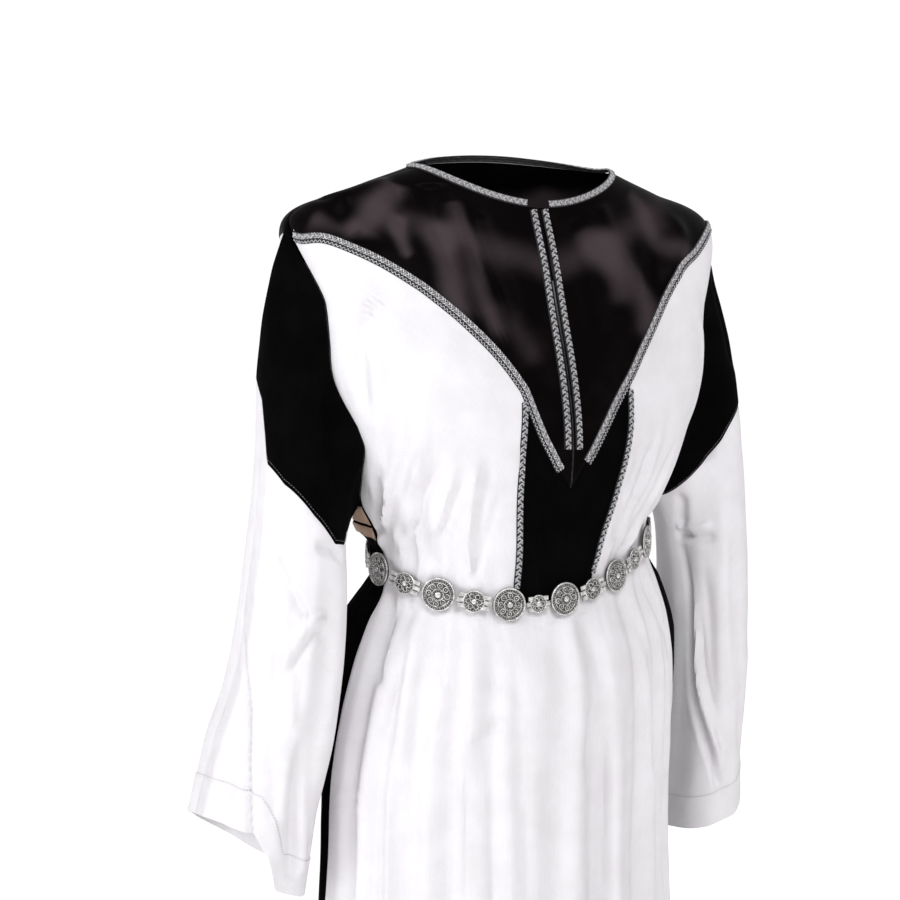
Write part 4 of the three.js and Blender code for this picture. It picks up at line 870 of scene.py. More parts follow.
# %% [markdown]
# ## Sleeves
# A sleeve is a tube that starts as the armhole itself and turns into its own rings on the way
# down. The black upper part and the white lower part share one surface and are cut apart on a
# stepped line, so their folds run on across the seam.

# %% Sleeve rings, the line between black and white, and folds
SLEEVE_COLUMNS = "outer_x outer_z inner_x inner_z centre_y half_depth spread clear".split()
SLEEVE_ROWS = np.array([  # spread widens the right sleeve, clear holds the left one off the body
    [236, -47, 172, -315, -4, 42, 0, 0], [255, -105, 181, -337, -4, 44, 0, 0],
    [267, -180, 187, -372, -7, 50, 0, 4], [271, -275, 190, -425, -11, 57, 0, 8],
    [279, -380, 193, -485, -5, 65, 2, 9], [287, -480, 198, -550, 8, 71, 5, 8],
    [296, -550, 205, -612, 26, 75, 11, 6], [302, -607, 208, -664, 38, 77, 15, 4],
    [309, -662, 212, -716, 49, 79, 18, 4],
], float)
SLEEVE = dict(zip(SLEEVE_COLUMNS, SLEEVE_ROWS.T))
ARMHOLE_FADE = 2.4
SLEEVE_JOIN = {  # turn round the sleeve (0 outer, 0.25 front, 0.5 inner, 0.75 back) and ring
    "right": [(0, 2.45), (.03, 3), (.10, 3.05), (.20, 2.95), (.29, 2.75), (.36, 2.3), (.50, .9),
              (.64, .95), (.80, 1.55), (1, 2.45)],
    "left": [(0, 2.55), (.12, 2.4), (.25, 1.95), (.37, 1.35), (.50, .75), (.64, .95), (.80, 1.75),
             (1, 2.55)],
}
SLEEVE_CUFF = {  # the cuff's edge; it hangs lower in front, and the right one has a step
    "right": [(0, 7.15), (.10, 7.1), (.17, 7.05), (.215, 7.35), (.25, 7.85), (.35, 7.8),
              (.50, 7.55), (.70, 7.35), (.90, 7.2), (1, 7.15)],
    "left": [(0, 7.5), (.12, 7.75), (.22, 7.85), (.35, 7.7), (.50, 7.5), (.75, 7.35), (1, 7.5)],
}
SLEEVE_FOLDS = [  # turn, first ring, last ring, depth, half width as a share of the way round
    (.08, 3.6, 7, 5, .05), (.27, 2.6, 6.2, 5, .06), (.43, 1.2, 7, 7, .06),
    (.66, 1.6, 7, 6, .06), (.85, 3.2, 7, 5, .05),
]


def armhole(side):
    """Points round the armhole and their turns, from the shoulder tip round by the front."""
    levels = np.linspace(2, 6, 90)
    front = body_point(front_angle(side * 1.0, levels), levels)
    back = body_point(back_angle(side * 1.0, levels), levels)
    start = float(front_edge(side, 6.0))
    end = 180 - float(between(RINGS["back_edge"], 6.0))
    under = side * np.linspace(start, end, 25)[1:-1]
    curve = np.concatenate([front, body_point(under, np.full(len(under), 6.0)), back[::-1]])
    top, low = body_point(side * 90.0, 2.0), body_point(side * 90.0, 6.0)
    height = np.clip((curve - top) @ (low - top) / ((low - top) @ (low - top)), 0, 1)
    turn = np.arccos(1 - 2 * height) / (2 * np.pi)
    turn[len(front) + len(under) // 2:] = 1 - turn[len(front) + len(under) // 2:]
    return curve, np.maximum.accumulate(turn)


ARMHOLES = {name: armhole(side) for name, side in SIDES.items()}


def on_armhole(name, turn):
    curve, turns = ARMHOLES[name]
    return np.stack([np.interp(turn % 1.0, turns, curve[:, k]) for k in range(3)], axis=-1)


def sleeve_ring_point(side, turn, place):
    out, fore = np.cos(2 * np.pi * turn), np.sin(2 * np.pi * turn)
    rows = {key: along(values, place) for key, values in SLEEVE.items()}
    outer_x = rows["outer_x"] + (rows["spread"] if side < 0 else 0)
    inner_x = rows["inner_x"] + (rows["clear"] if side > 0 else 0)
    half_x, half_z = (outer_x - inner_x) / 2, (rows["outer_z"] - rows["inner_z"]) / 2
    squeeze = 0
    for centre, first, last, depth, width in SLEEVE_FOLDS:
        shape = hump(turn - centre, width, whole=1)
        squeeze = squeeze + depth * shape * smooth((place - first) / 1.5) * \
            (1 - 0.4 * smooth((place - last + 0.6) / 0.8))
    spread = 1 - squeeze / rows["half_depth"]
    return np.stack([side * (outer_x - half_x + half_x * out * spread),
                     rows["centre_y"] - rows["half_depth"] * fore * spread,
                     rows["outer_z"] - half_z + half_z * out], axis=-1)


def sleeve_point(name, turn, place):
    turn, place = np.broadcast_arrays(np.asarray(turn, float), np.asarray(place, float))
    side = SIDES[name]
    start = on_armhole(name, turn) - sleeve_ring_point(side, turn, np.zeros(turn.shape))
    fade = 1 - smooth(place / ARMHOLE_FADE)
    return sleeve_ring_point(side, turn, place) + start * fade[..., None]


print("armhole points:", len(ARMHOLES["right"][0]))

# %% Sleeve creases: width, depth and a path of (turn, ring) places
SLEEVE_CREASES = {
    "right": [
        (3.5, -5.0, [(-0.03, 4.24), (0.045, 4.98), (0.10, 5.7), (0.135, 6.4), (0.155, 6.9),
                     (0.175, 7.4)]),
        (5, -4.0, [(0.15, 4.8), (0.165, 4.64), (0.22, 4.16), (0.285, 3.86)]),
        (5, 3.0, [(0.16, 4.5), (0.21, 4.02), (0.27, 3.72)]),
        (5, -3.4, [(0.08, 3.7), (0.105, 3.8), (0.175, 3.98), (0.2, 4.0)]),
        (5, -3.6, [(0.20, 3.3), (0.23, 3.14), (0.29, 2.86), (0.33, 2.7)]),
        (6, 3.0, [(0.16, 3.56), (0.135, 4.22), (0.18, 4.92), (0.2, 5.3)]),
        (7, -2.6, [(0.085, 4.14), (0.12, 5.06), (0.185, 6.04), (0.21, 6.8)]),
        (7, -3.6, [(0.215, 5.08), (0.25, 5.86), (0.285, 7.2), (0.29, 7.6)]),
        (7, 2.8, [(0.25, 5.3), (0.28, 6.1), (0.315, 7.0), (0.32, 7.5)]),
    ],
    "left": [
        (4, 3.2, [(0.44, 1.95), (0.425, 2.04), (0.37, 2.35), (0.32, 2.64)]),
        (5, -4.2, [(0.45, 2.1), (0.42, 2.26), (0.37, 2.55), (0.31, 2.9)]),
        (6, -4.0, [(0.42, 1.3), (0.40, 1.6), (0.415, 2.0), (0.41, 2.4)]),
        (4.5, -6.0, [(0.44, 1.8), (0.42, 3.4), (0.405, 4.86), (0.36, 5.74), (0.305, 6.62),
                     (0.28, 7.2)]),
        (4, 3.2, [(0.42, 2.6), (0.40, 3.8), (0.385, 4.8), (0.335, 5.7), (0.28, 6.5)]),
        (3, -2.4, [(0.39, 3.6), (0.372, 4.6), (0.33, 5.4)]),
        (7, -3.0, [(0.37, 2.6), (0.36, 3.86), (0.34, 5.0), (0.27, 6.5)]),
        (8, 2.4, [(0.275, 2.34), (0.295, 3.34), (0.28, 4.48), (0.25, 5.8)]),
        (8, -2.4, [(0.22, 2.9), (0.235, 4.0), (0.22, 5.4), (0.19, 6.8)]),
    ],
}
BACK_SLEEVE_CREASES = [
    (8, -3.6, [(0.60, 1.6), (0.63, 2.8), (0.65, 4.2), (0.66, 5.6)]),
    (8, 3.0, [(0.72, 2.2), (0.73, 3.4), (0.74, 4.8), (0.73, 6.2)]),
    (8, -3.2, [(0.79, 1.8), (0.80, 3.2), (0.81, 4.6), (0.80, 6.0)]),
    (7, -3.0, [(0.70, 2.4), (0.76, 2.7), (0.83, 2.6)]),
    (9, -3.4, [(0.08, 0.5), (0.10, 1.2), (0.12, 2.0)]),
    (9, -3.6, [(0.36, 0.3), (0.32, 1.1), (0.29, 1.9)]),
    (9, -3.2, [(0.92, 0.5), (0.90, 1.3), (0.88, 2.1)]),
]
CUFF_DEPTH = 38.0


def sleeve_lines(name):
    return crease_lines(SLEEVE_CREASES[name] + BACK_SLEEVE_CREASES,
                        lambda turn, place: sleeve_point(name, turn, place))


def sleeve_shift(name, points, place):
    """How far a sleeve's points move for its creases, which fade in below the armhole."""
    return crease_shift(points, sleeve_lines(name)) * smooth(place / 0.8) + unevenness(points)


def settle_sleeve(name, turn, place, seams, cuff=0.0):
    points = sleeve_point(name, turn, place)
    centre = points.mean(axis=1, keepdims=True)
    normals = surface_normals(points, points - centre, wrap=True)
    shift = sleeve_shift(name, points, place) + seam_groove(points, seams)
    if cuff:
        from_edge = edge_distance(points, "bottom")
        shift = shift + 0.8 * smooth((cuff - from_edge) / 1.2)
    return points + normals * shift[..., None], normals


turns = np.arange(150)[None, :] / 150
for name in SIDES:
    join = np.interp(turns, *np.array(SLEEVE_JOIN[name]).T)
    place = mix(np.zeros_like(join), join, np.linspace(0, 1, 64)[:, None])
    points, outward = settle_sleeve(name, turns, place, ["top", "bottom"])
    cloth_shell(f"upper_sleeve_{name}", black_cotton, points, outward, wrap=True)
    cuff = np.interp(turns, *np.array(SLEEVE_CUFF[name]).T)
    place = mix(join, cuff, np.linspace(0, 1, 120)[:, None])
    points, outward = settle_sleeve(name, turns, place, ["top"], CUFF_DEPTH)
    cloth_shell(f"lower_sleeve_{name}", white_cotton, points, outward, wrap=True)

# %% [markdown]
# ## Underarm strips
# Tan strips are sewn over the top of each side gore. They follow the gore a little way out, and
# their edges are turned under, so each is a small shell with a soft rounded edge.

# %% Tan strips
PATCHES = {"right_upper": (-1, 6.15, 6.9), "right_lower": (-1, 7.02, 7.5),
           "left_upper": (1, 6.15, 6.9)}
for name, (side, first, last) in PATCHES.items():
    level = np.repeat(np.linspace(first, last, 24)[:, None], 20, axis=1)
    angle = side_angle(side, level, np.linspace(0.06, 0.94, 20)[None, :])
    points, outward = settle(angle, level, [])
    edge = np.min([edge_distance(points, at) for at in ("top", "bottom", "start", "end")], axis=0)
    points = points + outward * (0.7 + 0.9 * np.sqrt(np.clip(edge / 2.0, 0, 1)))[..., None]
    cloth_shell(f"underarm_patch_{name}", tan_cloth, points, outward)

# %% [markdown]
# ## Plaits and stitches that follow a path
# A braid is a few strands that swing from side to side and pass over and under each other. That
# is a rule along a path, which is what Geometry Nodes are good at: the path carries the way out
# of the cloth as an attribute, and each strand swings in its own phase. Stitches are one small
# thread shape, set at even steps along the seam.

# %% Geometry Nodes recipes
class Recipe(Graph):
    """A Geometry Nodes tree with named inputs."""

    KINDS = {float: "NodeSocketFloat", bpy.types.Material: "NodeSocketMaterial"}

    def __init__(self, name, **inputs):
        super().__init__(bpy.data.node_groups.new(name, "GeometryNodeTree"))
        face = self.tree.interface
        face.new_socket("Geometry", in_out="INPUT", socket_type="NodeSocketGeometry")
        face.new_socket("Geometry", in_out="OUTPUT", socket_type="NodeSocketGeometry")
        self.keys = {}
        for key, kind in inputs.items():
            made = face.new_socket(key, in_out="INPUT", socket_type=self.KINDS[kind])
            self.keys[key] = made.identifier
        self.entry = self.tree.nodes.new("NodeGroupInput")

    def __getitem__(self, key):
        return Wire(self, self.entry.outputs[key])

    def vector(self, operation, first, second):
        key = "Scale" if operation == "SCALE" else 1
        return self.node("ShaderNodeVectorMath", {"operation": operation}, {0: first, key: second})

    def steps(self, length):
        """The path as a curve of even steps, the way out that it carries, and its own way."""
        curve = self.node("GeometryNodeMeshToCurve", None, {"Mesh": self["Geometry"]})
        curve = self.node("GeometryNodeResampleCurve", {"mode": "LENGTH"},
                          {"Curve": curve, "Length": length})
        out = self.node("GeometryNodeInputNamedAttribute", {"data_type": "FLOAT_VECTOR"},
                        {"Name": "out"}, "Attribute")
        return curve, out, self.node("GeometryNodeInputTangent")

    def end(self, geometry, material):
        real = self.node("GeometryNodeRealizeInstances", None, {"Geometry": geometry})
        inputs = {"Geometry": real, "Material": material}
        painted = self.node("GeometryNodeSetMaterial", None, inputs)
        self.node("NodeGroupOutput", None, {"Geometry": painted})

    def run(self, source, **values):
        """The recipe's result on a mesh, as a plain mesh."""
        carrier = linked("carrier", source)
        modifier = carrier.modifiers.new("recipe", "NODES")
        modifier.node_group = self.tree
        for key, value in values.items():
            modifier[self.keys[key]] = value
        graph = bpy.context.evaluated_depsgraph_get()
        mesh = bpy.data.meshes.new_from_object(carrier.evaluated_get(graph), depsgraph=graph)
        bpy.data.objects.remove(carrier)
        return mesh


def path_mesh(points, outward, closed=False):
    """One or more lines of edges, in metres, that carry the way out of the cloth."""
    count = points.shape[-2]
    edges = []
    for first in range(0, points.size // 3, count):
        edges += [(first + k, first + k + 1) for k in range(count - 1)]
        edges += [(first + count - 1, first)] if closed else []
    mesh = bpy.data.meshes.new("path")
    mesh.from_pydata((points.reshape(-1, 3) * MM).tolist(), edges, [])
    out = mesh.attributes.new("out", "FLOAT_VECTOR", "POINT")
    out.data.foreach_set("vector", np.asarray(outward, float).ravel())
    return mesh


def plait_recipe():
    recipe = Recipe("plait_strand", Pitch=float, Swing=float, Lift=float, Phase=float,
                    Radius=float, Step=float, Material=bpy.types.Material)
    curve, out, tangent = recipe.steps(recipe["Step"])
    run = recipe.node("GeometryNodeSplineParameter", output="Length")
    turn = recipe.node("ShaderNodeMath", {"operation": "DIVIDE"}, {0: run, 1: recipe["Pitch"]})
    turn = turn * (2 * math.pi) + recipe["Phase"]
    side = recipe.vector("CROSS_PRODUCT", tangent, out)
    across = recipe.vector("SCALE", side, turn.sine() * recipe["Swing"])
    over = (turn * 2.0).sine() * recipe["Radius"] * 0.8 + recipe["Lift"]
    above = recipe.vector("SCALE", out, over)
    inputs = {"Geometry": curve, "Offset": recipe.vector("ADD", across, above)}
    curve = recipe.node("GeometryNodeSetPosition", None, inputs)
    ring = recipe.node("GeometryNodeCurvePrimitiveCircle", {"mode": "RADIUS"},
                       {"Resolution": 6, "Radius": recipe["Radius"]})
    inputs = {"Curve": curve, "Profile Curve": ring, "Fill Caps": True}
    tube = recipe.node("GeometryNodeCurveToMesh", None, inputs)
    recipe.end(tube, recipe["Material"])
    return recipe


def stitch_recipe():
    recipe = Recipe("stitches", Pitch=float, Length=float, Thickness=float, Lift=float,
                    Material=bpy.types.Material)
    curve, out, tangent = recipe.steps(recipe["Pitch"])
    lift = recipe.vector("SCALE", out, recipe["Lift"])
    curve = recipe.node("GeometryNodeSetPosition", None, {"Geometry": curve, "Offset": lift})
    turned = recipe.node("FunctionNodeAxesToRotation",
                         {"primary_axis": "X", "secondary_axis": "Z"}, {0: tangent, 1: out})
    shape = recipe.node("GeometryNodeMeshUVSphere", None,
                        {"Segments": 6, "Rings": 4, "Radius": 0.5})
    size = recipe.node("ShaderNodeCombineXYZ", None,
                       {0: recipe["Length"], 1: recipe["Thickness"], 2: recipe["Thickness"]})
    inputs = {"Points": curve, "Instance": shape, "Rotation": turned, "Scale": size}
    made = recipe.node("GeometryNodeInstanceOnPoints", None, inputs)
    recipe.end(made, recipe["Material"])
    return recipe


plait, stitches = plait_recipe(), stitch_recipe()
print("recipes:", plait.tree.name, stitches.tree.name)


def join_meshes(meshes, name, slot, *nodes):
    """Several meshes as one piece."""
    parts = [linked(name, mesh) for mesh in meshes]
    with bpy.context.temp_override(active_object=parts[0], selected_editable_objects=parts):
        bpy.ops.object.join()
    piece = parts[0]
    piece.name, piece.data.name = name, name
    piece.data.shade_smooth()
    return dress(piece, slot, *nodes)


# %% [markdown]
# ## Braids
# Three kinds of braid are sewn on. The neck has a wide silver plait. The yoke's edge has a silver
# plait with a fine zigzag on black tape below it. The slit and the inset have a mottled plait of
# silver and black strands. Each lies on a narrow woven tape that covers the seam.

# %% Tapes and plaits
def sideways(points, outward):
    """Which way is across a path, along the cloth."""
    return unit(np.cross(outward, unit(np.gradient(points, axis=0))))


def tape(name, points, outward, low, high, height, material):
    """A flat strip beside a path, from low to high millimetres across it."""
    way = sideways(points, outward)
    across = np.linspace(low, high, 7)
    crown = height * np.sqrt(np.clip(1 - (2 * (across - low) / (high - low) - 1) ** 4, 0, 1))
    rows = points[:, None] + way[:, None] * across[None, :, None] \
        + outward[:, None] * (0.35 + crown)[None, :, None]
    normals = surface_normals(rows, np.repeat(outward[:, None], 7, axis=1))
    faces, count = shell_faces(len(rows), 7, False, None)
    outer, inner = rows.reshape(-1, 3), (rows - normals * 0.5).reshape(-1, 3)
    faces = facing_out(faces, count, outer, normals)
    uv = cloth_uv(rows).reshape(-1, 2)
    return new_mesh(name, np.concatenate([outer, inner]) * MM, faces, material,
                    np.concatenate([uv, uv]))


def strands(points, outward, offset, pitch, swing, radius, lift, materials, step=0.9):
    """One plait beside a path: a strand for each material, in even phases."""
    line = path_mesh(points + sideways(points, outward) * offset, outward)
    made = []
    for k, material in enumerate(materials):
        made.append(plait.run(line.copy(), Pitch=pitch * MM, Swing=swing * MM, Lift=lift * MM,
                              Phase=2 * math.pi * k / len(materials), Radius=radius * MM,
                              Step=step * MM, Material=material))
    return made


def settled_line(angle, level):
    """A path on the settled cloth, with the way out at each of its points."""
    angle, level = np.asarray(angle, float)[None, :], np.asarray(level, float)[None, :]
    points, normals = body_point(angle, level), body_normal(angle, level)
    shift = crease_shift(points, body_lines) - gathers(angle, level)
    shift = shift + off_belt(level) * unevenness(points)
    return (points + normals * shift[..., None])[0], normals[0]


SILVER = [silver_thread, grey_thread, silver_thread]
MOTTLED = [silver_thread, black_thread, silver_thread]

front = np.linspace(0.1, 1, 60)
start = np.linspace(1, 0.17, 60)
neck_angle = np.concatenate([front_angle(front, np.zeros(60)),
                             back_angle(np.linspace(1, -1, 120)[1:-1], np.zeros(118)),
                             360 + front_angle(-start, np.zeros(60))])
points, outward = settled_line(neck_angle, np.zeros(len(neck_angle)))
down = unit(np.cross(unit(np.gradient(points, axis=0)), outward))
sign = np.sign(np.mean(down[:, 2])) * -1
parts = [tape("neck_tape", points, outward, *sorted((0.0, sign * 7.5)), 0.5, black_thread)]
parts += strands(points, outward, sign * 3.8, 7.5, 2.5, 0.72, 1.4, SILVER)
join_meshes(parts, "neck_braid_silver", "silver_braid", "neck_braid")

for name, side in SIDES.items():
    level = np.linspace(0.04, 4.1, 120)
    points, outward = settled_line(front_angle(np.zeros(120), level), level)
    edges = sorted((side * 2.5, side * 10.5))
    parts = [tape("slit_tape", points, outward, *edges, 0.4, black_thread)]
    parts += strands(points, outward, side * 6.5, 7.0, 2.6, 0.75, 1.4, MOTTLED)
    join_meshes(parts, f"slit_braid_{name}_plait", "silver_braid", f"slit_braid_{name}")

    column = side * np.linspace(0.075, 0.97, 150)
    level = yoke_edge(column)
    points, outward = settled_line(front_angle(column, level), level)
    parts = [tape("yoke_tape", points, outward, -5, 5, 0.4, black_thread)]
    parts += strands(points, outward, side * 1.7, 8.0, 2.2, 0.75, 1.4, SILVER)
    parts += strands(points, outward, side * -3.3, 4.0, 1.2, 0.42, 1.1, [silver_thread])
    join_meshes(parts, f"yoke_braid_{name}_plait", "silver_braid", f"yoke_braid_{name}")

    share = np.linspace(0, 1, 110)
    edge_column = side * INSET_COLUMN
    level = np.concatenate([mix(float(yoke_edge(edge_column)), UNDERARM, share[8:]),
                            np.linspace(UNDERARM, BELT_TOP, 40)[1:]])
    points, outward = settled_line(front_angle(np.full(len(level), edge_column), level), level)
    parts = [tape("inset_tape", points, outward, -3.5, 3.5, 0.4, black_thread)]
    parts += strands(points, outward, 0, 7.0, 2.3, 0.72, 1.3, MOTTLED)
    join_meshes(parts, f"inset_braid_{name}_plait", "silver_braid", f"inset_braid_{name}")

# %% [markdown]
# ## The belt
# The real belt is cast and soldered from small parts: a domed plate, a twisted wire round its rim,
# rings of grains, wire scrolls and a boss in the middle. The same parts are made here once for the
# large medallion and once for the small one, and each medallion is a copy of them, set on the
# cloth. Straight bars join them.

# %% Where the belt's parts sit
BIG_RADIUS, SMALL_RADIUS, CLASP_RADIUS = 16.5, 11.0, 9.0
BELT_CLEAR, BELT_JOINT_GAP, CLASP_PITCH, BIG_COUNT = 0.5, 0.8, 58.0, 12


def belt_point(angle):
    return body_point(angle, BELT_LEVEL, folded=False)


def belt_frame(tangent):
    out = unit(np.array([tangent[1], -tangent[0], 0.0]))
    return np.stack([tangent, unit(np.cross(out, tangent)), out])


def cloth_reach(angle, centre, axes):
    turn, level = np.meshgrid(np.arange(angle - 12, angle + 12.01),
                              np.arange(BELT_TOP - 0.4, BELT_BOTTOM + 0.41, 0.1))
    away = (body_point(turn, level, folded=False) - centre) @ axes.T
    behind = np.hypot(away[..., 0], away[..., 1]) <= BIG_RADIUS + 1
    return max(0.0, float(away[..., 2][behind].max()))


def medallion_seat(angle):
    centre = belt_point(angle)
    axes = belt_frame(unit(belt_point(angle + 1) - belt_point(angle - 1)))
    point = centre + axes[2] * (cloth_reach(angle, centre, axes) + BELT_CLEAR)
    reach = axes[0] * (BIG_RADIUS + BELT_JOINT_GAP)
    return {"axes": axes, "point": point, "ahead": point - reach, "behind": point + reach}


belt_turn = -np.arange(0.0, 361.0)
belt_steps = np.linalg.norm(np.diff(belt_point(belt_turn), axis=0), axis=-1)
belt_run = np.concatenate([[0], np.cumsum(belt_steps)])
pitch = (belt_run[-1] - CLASP_PITCH) / (BIG_COUNT - 1)
runs = [0.0] + [CLASP_PITCH + pitch * k for k in range(BIG_COUNT - 1)]
seats = [medallion_seat(float(np.interp(run, belt_run, belt_turn))) for run in runs]
print("belt length in mm:", round(float(belt_run[-1]), 1))

# %% Plates, wires and grains
UP = np.array([0.0, 0.0, 1.0])


def lathe(profile, sides, material):
    """A round plate from (radius, height) pairs that start and end on its axis."""
    turn = 2 * np.pi * np.arange(sides) / sides
    rings = [[(r * math.cos(t), r * math.sin(t), z) for t in turn] for r, z in profile[1:-1]]
    count = len(rings)
    points = np.array([[(0, 0, profile[0][1])] + sum(rings, []) + [(0, 0, profile[-1][1])]])[0]
    at = lambda ring, k: 1 + ring * sides + k % sides
    faces = [(0, at(0, k), at(0, k + 1)) for k in range(sides)]
    faces += [(at(r, k), at(r + 1, k), at(r + 1, k + 1), at(r, k + 1))
              for r in range(count - 1) for k in range(sides)]
    faces += [(at(count - 1, k + 1), at(count - 1, k), len(points) - 1) for k in range(sides)]
    return new_mesh("plate", points * MM, faces, material, sharp=35)


def loops(centres, radius, height, count=28):
    """Closed round paths, one about each centre."""
    turn = 2 * np.pi * np.arange(count) / count
    ring = np.stack([np.cos(turn), np.sin(turn), 0 * turn], axis=-1) * radius
    return np.asarray(centres, float)[:, None] + ring[None] + UP * height


def closed_source(paths):
    """Closed paths as edges that face up, and the length of one of them."""
    length = float(np.linalg.norm(np.roll(paths[0], -1, axis=0) - paths[0], axis=-1).sum())
    return path_mesh(paths, np.broadcast_to(UP, paths.shape), closed=True), length


def wire(paths, radius, material, swing=0.0, turns=1, count=1, step=0.9):
    source, length = closed_source(paths)
    return [plait.run(source.copy(), Pitch=length / turns * MM, Swing=swing * MM, Lift=0.0,
                      Phase=2 * math.pi * k / count, Radius=radius * MM, Step=step * MM,
                      Material=material) for k in range(count)]


def grains(ring, radius, number, material):
    source, length = closed_source(ring)
    size = 2 * radius * MM
    return [stitches.run(source, Pitch=length / number * MM, Length=size, Thickness=size, Lift=0.0,
                         Material=material)]


def spots(number, radius, offset=0.0):
    turn = 2 * np.pi * (np.arange(number) + offset) / number
    return np.stack([radius * np.cos(turn), radius * np.sin(turn), 0 * turn], axis=-1)


AXIS = [(0.0, 0.0, 0.0)]


def big_medallion():
    parts = [lathe([(0, 0), (16, 0), (16.2, 0.5), (16.2, 1.3), (15, 1.7), (13, 1.9), (10, 2.6),
                    (5, 3.5), (0, 3.8)], 40, dark_silver)]
    parts += wire(loops(AXIS, 15.3, 1.9, 48), 0.62, bright_silver, 0.5, 26, 2)
    parts += grains(loops(AXIS, 13.4, 2.2, 48), 0.55, 36, bright_silver)
    parts += wire(loops(AXIS, 11.9, 2.6, 40), 0.34, bright_silver)
    parts += wire(loops(spots(8, 8.9), 2.35, 3.0, 14), 0.42, bright_silver)
    parts += grains(loops(AXIS, 8.9, 3.1, 40), 0.75, 8, bright_silver)
    parts += wire(loops(AXIS, 5.6, 3.6, 28), 0.36, bright_silver)
    parts += grains(loops(AXIS, 4.4, 3.8, 28), 0.5, 12, bright_silver)
    parts += [lathe([(0, 3.2), (3.0, 3.3), (2.7, 4.3), (1.7, 4.9), (0, 5.2)], 16, bright_silver)]
    return parts


def small_medallion(radius):
    parts = [lathe([(0, 0), (radius - 0.4, 0), (radius - 0.2, 0.5), (radius - 0.2, 1.4),
                    (radius * 0.85, 1.7), (radius * 0.5, 2.3), (0, 2.6)], 32, dark_silver)]
    parts += wire(loops(AXIS, radius - 0.9, 1.7, 36), 0.5, bright_silver, 0.4, 20, 2)
    parts += grains(loops(AXIS, radius - 2.5, 2.0, 36), 0.6, 20, bright_silver)
    parts += wire(loops(spots(6, radius * 0.5), radius * 0.2, 2.3, 12), 0.42, bright_silver)
    parts += [lathe([(0, 2.0), (2.7, 2.1), (2.4, 3.0), (1.4, 3.5), (0, 3.7)], 14, bright_silver)]
    return parts


def bar(start, end, middle, width, height, material):
    """A straight bar with its long edges rounded off."""
    half, soft = width / 2, 0.5
    section = [(-half, 0.2), (half, 0.2), (half, height - soft), (half - soft, height),
               (-half + soft, height), (-half, height - soft)]
    points = [(x, middle + y, z) for x in (start, end) for y, z in section]
    n = len(section)
    faces = [(k, (k + 1) % n, n + (k + 1) % n, n + k) for k in range(n)]
    faces += [tuple(range(n))[::-1], tuple(range(n, 2 * n))]
    if start < end:
        faces = [face[::-1] for face in faces]
    return new_mesh("bar", np.array(points) * MM, faces, material, sharp=30)


def set_on(parts, axes, point, name, node):
    """Copies of the parts, moved to their place on the belt, as one piece."""
    place = [[*axes[:, row], point[row] * MM] for row in range(3)]
    matrix = Matrix(place + [[0, 0, 0, 1]])
    made = []
    for part in parts:
        copy = part.copy()
        copy.transform(matrix)
        made.append(copy)
    return join_meshes(made, name, "belt_silver", node)


print("radii of medallions and clasp in mm:", BIG_RADIUS, SMALL_RADIUS, CLASP_RADIUS)

# %% Medallions, links and clasp
big, small, clasp = big_medallion(), small_medallion(SMALL_RADIUS), small_medallion(CLASP_RADIUS)
for k, seat in enumerate(seats):
    set_on(big, seat["axes"], seat["point"], f"belt_medallion_{k + 1}_silver",
           f"belt_medallion_{k + 1}")
    start, end = seat["ahead"], seats[(k + 1) % BIG_COUNT]["behind"]
    half = float(np.linalg.norm(start - end)) / 2
    round_part, radius = (clasp, CLASP_RADIUS) if k == 0 else (small, SMALL_RADIUS)
    bars = []
    for side in (-1, 1):
        for middle in (-5.2, 0, 5.2):
            inner = math.sqrt((radius - 1.2) ** 2 - middle ** 2)
            reach = half - 0.2 - 0.06 * middle ** 2
            bars.append(bar(side * inner, side * reach, middle, 4.2, 1.9, bright_silver))
        bars.append(bar(side * (inner + 0.6), side * (half - 3.4), 0, 14.2, 1.1, dark_silver))
    node = "belt_clasp" if k == 0 else f"belt_link_{k}"
    set_on(round_part + bars, belt_frame(unit(start - end)), (start + end) / 2, f"{node}_silver",
           node)

# %% [markdown]
# ## Stitching
# The seams are topstitched by machine in white thread, a few millimetres from the edge, and the
# cuffs and hem are turned up and sewn down. Each row of stitches is one path on the settled cloth.

# %% Rows of stitches
CUFF_STITCH, JOIN_STITCH = 0.69, 0.05        # above the cuff's edge and the sleeve's seam, in rings
SEAM_STITCH_COLUMN, HEM_STITCH_LEVEL = 0.955, 13.938


def settled_sleeve_line(name, turn, place):
    """A path on a settled sleeve, with the way out at each of its points."""
    points = sleeve_point(name, turn, place)
    across = sleeve_point(name, turn + 0.003, place) - sleeve_point(name, turn - 0.003, place)
    down = sleeve_point(name, turn, place + 0.03) - sleeve_point(name, turn, place - 0.03)
    middle = (sleeve_point(name, turn, place) + sleeve_point(name, turn + 0.5, place)) / 2
    normals = unit(np.cross(across, down))
    normals = normals * np.sign(np.sum(normals * (points - middle), axis=-1, keepdims=True))
    return points + normals * sleeve_shift(name, points, place)[:, None], normals


def sew(points, outward, material, lift=0.15, pitch=3.0, length=2.1, thickness=0.45):
    return stitches.run(path_mesh(points, outward), Pitch=pitch * MM, Length=length * MM,
                        Thickness=thickness * MM, Lift=lift * MM, Material=material)


rows = []
turn = np.linspace(0, 1, 160)
for name in SIDES:
    join = np.interp(turn, *np.array(SLEEVE_JOIN[name]).T)
    cuff = np.interp(turn, *np.array(SLEEVE_CUFF[name]).T)
    rows.append(sew(*settled_sleeve_line(name, turn, cuff - CUFF_STITCH), grey_thread, 0.95))
    rows.append(sew(*settled_sleeve_line(name, turn, join - JOIN_STITCH), grey_thread))
join_meshes(rows, "sleeve_stitching", "white_cotton")

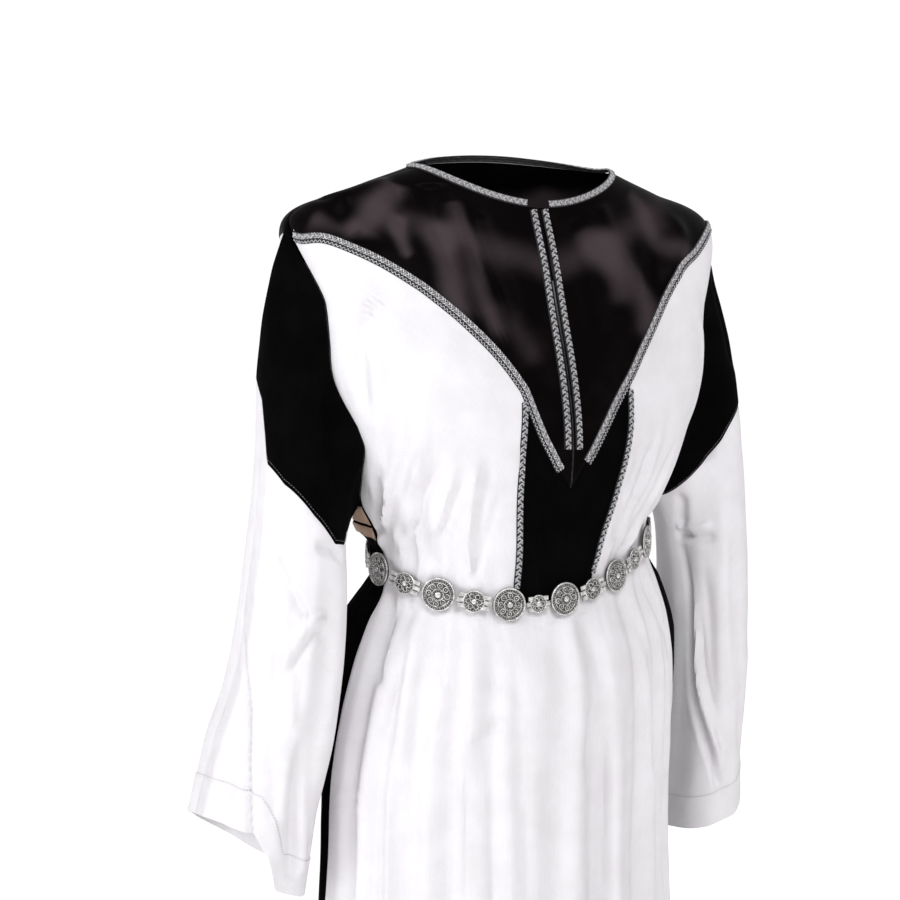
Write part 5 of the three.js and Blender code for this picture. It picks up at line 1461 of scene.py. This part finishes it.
rows = []
level = np.concatenate([np.linspace(2.2, 6, 80), LOWER_LEVELS])
back_level = np.maximum(level, 2.35)
for side in (-1, 1):
    column = np.full(len(level), side * SEAM_STITCH_COLUMN)
    rows.append(sew(*settled_line(front_angle(column, level), level), white_thread))
    rows.append(sew(*settled_line(back_angle(column, back_level), back_level), white_thread))
around = np.linspace(0, 360, 600)
rows.append(sew(*settled_line(around, np.full(600, HEM_STITCH_LEVEL)), grey_thread, 0.85))
join_meshes(rows, "body_stitching", "white_cotton")

# %% [markdown]

# %% [markdown]
# ## Camera, light and floor
# The camera stands a little to the wearer's right, at chest height. Two large soft lights stand
# near it, because plain studio light shows cloth best, and the pale floor and world throw the rest
# back, so that even the black cloth shows its folds.

# %% Floor
FLOOR_Z, FLOOR_SIZE = -1.362, 30.0

paint = Finish("floor_paint")
floor_paint = paint.surface((0.97, 0.97, 0.975, 1), 0.9, Emission_Color=(1.0, 1.0, 1.0, 1),
                            Emission_Strength=0.5)
square = ((-1, -1), (1, -1), (1, 1), (-1, 1))
corners = [(x * FLOOR_SIZE, y * FLOOR_SIZE, FLOOR_Z) for x, y in square]
floor_mesh = bpy.data.meshes.new("floor")
floor_mesh.from_pydata(corners, [], [(0, 1, 2, 3)])
floor_mesh.materials.append(floor_paint)
floor = linked("floor", floor_mesh)

WORLD_AS_LIGHT, WORLD_SEEN = 0.56, 1.04
world = bpy.data.worlds.new("studio")
world.use_nodes = True
studio = world.node_tree.nodes
studio["Background"].inputs["Color"].default_value = (1.0, 0.99, 0.995, 1)
seen = studio.new("ShaderNodeLightPath")  # white behind the object, and softer as a light on it
strength = studio.new("ShaderNodeMapRange")
strength.inputs["To Min"].default_value = WORLD_AS_LIGHT
strength.inputs["To Max"].default_value = WORLD_SEEN
world.node_tree.links.new(seen.outputs["Is Camera Ray"], strength.inputs["Value"])
world.node_tree.links.new(strength.outputs["Result"], studio["Background"].inputs["Strength"])
bpy.context.scene.world = world
bpy.context.scene.view_settings.view_transform = "Standard"


# %% Lights
def toward(azimuth, elevation):
    """The direction of a place around the garment, from angles in degrees."""
    a, e = math.radians(azimuth), math.radians(elevation)
    return Vector((math.sin(a) * math.cos(e), -math.cos(a) * math.cos(e), math.sin(e)))


def area_light(name, azimuth, elevation, distance, size, energy, aim=(0.0, 0.0, -0.45)):
    back = toward(azimuth, elevation)
    data = bpy.data.lights.new(name, "AREA")
    data.shape, data.size, data.energy, data.color = "DISK", size, energy, (0.96, 0.99, 1.0)
    lamp = linked(name, data)
    lamp.location = Vector(aim) + back * distance
    lamp.rotation_euler = back.to_track_quat("Z", "Y").to_euler()
    print("light:", name, [round(v, 2) for v in lamp.location])
    return lamp


area_light("key_light", -12, 40, 2.6, 1.1, 29)
area_light("side_light", -82, 20, 3.0, 1.2, 40)

# %% Camera
AZIMUTH, ELEVATION, DISTANCE = -30, 5, 2.2
TO_THE_RIGHT, HEIGHT = -0.053, -0.277
back = toward(AZIMUTH, ELEVATION)
right = Vector((math.cos(math.radians(AZIMUTH)), math.sin(math.radians(AZIMUTH)), 0))
lens = bpy.data.cameras.new("camera")
lens.lens, lens.sensor_width, lens.sensor_fit = 88, 36, "HORIZONTAL"
lens.dof.use_dof = False
camera = linked("camera", lens)
camera.location = right * TO_THE_RIGHT + Vector((0, 0, HEIGHT)) + back * DISTANCE
camera.rotation_euler = back.to_track_quat("Z", "Y").to_euler()
bpy.context.scene.camera = camera
print("camera at", [round(v, 3) for v in camera.location])

# %% Update the scene and finish
bpy.context.view_layer.update()
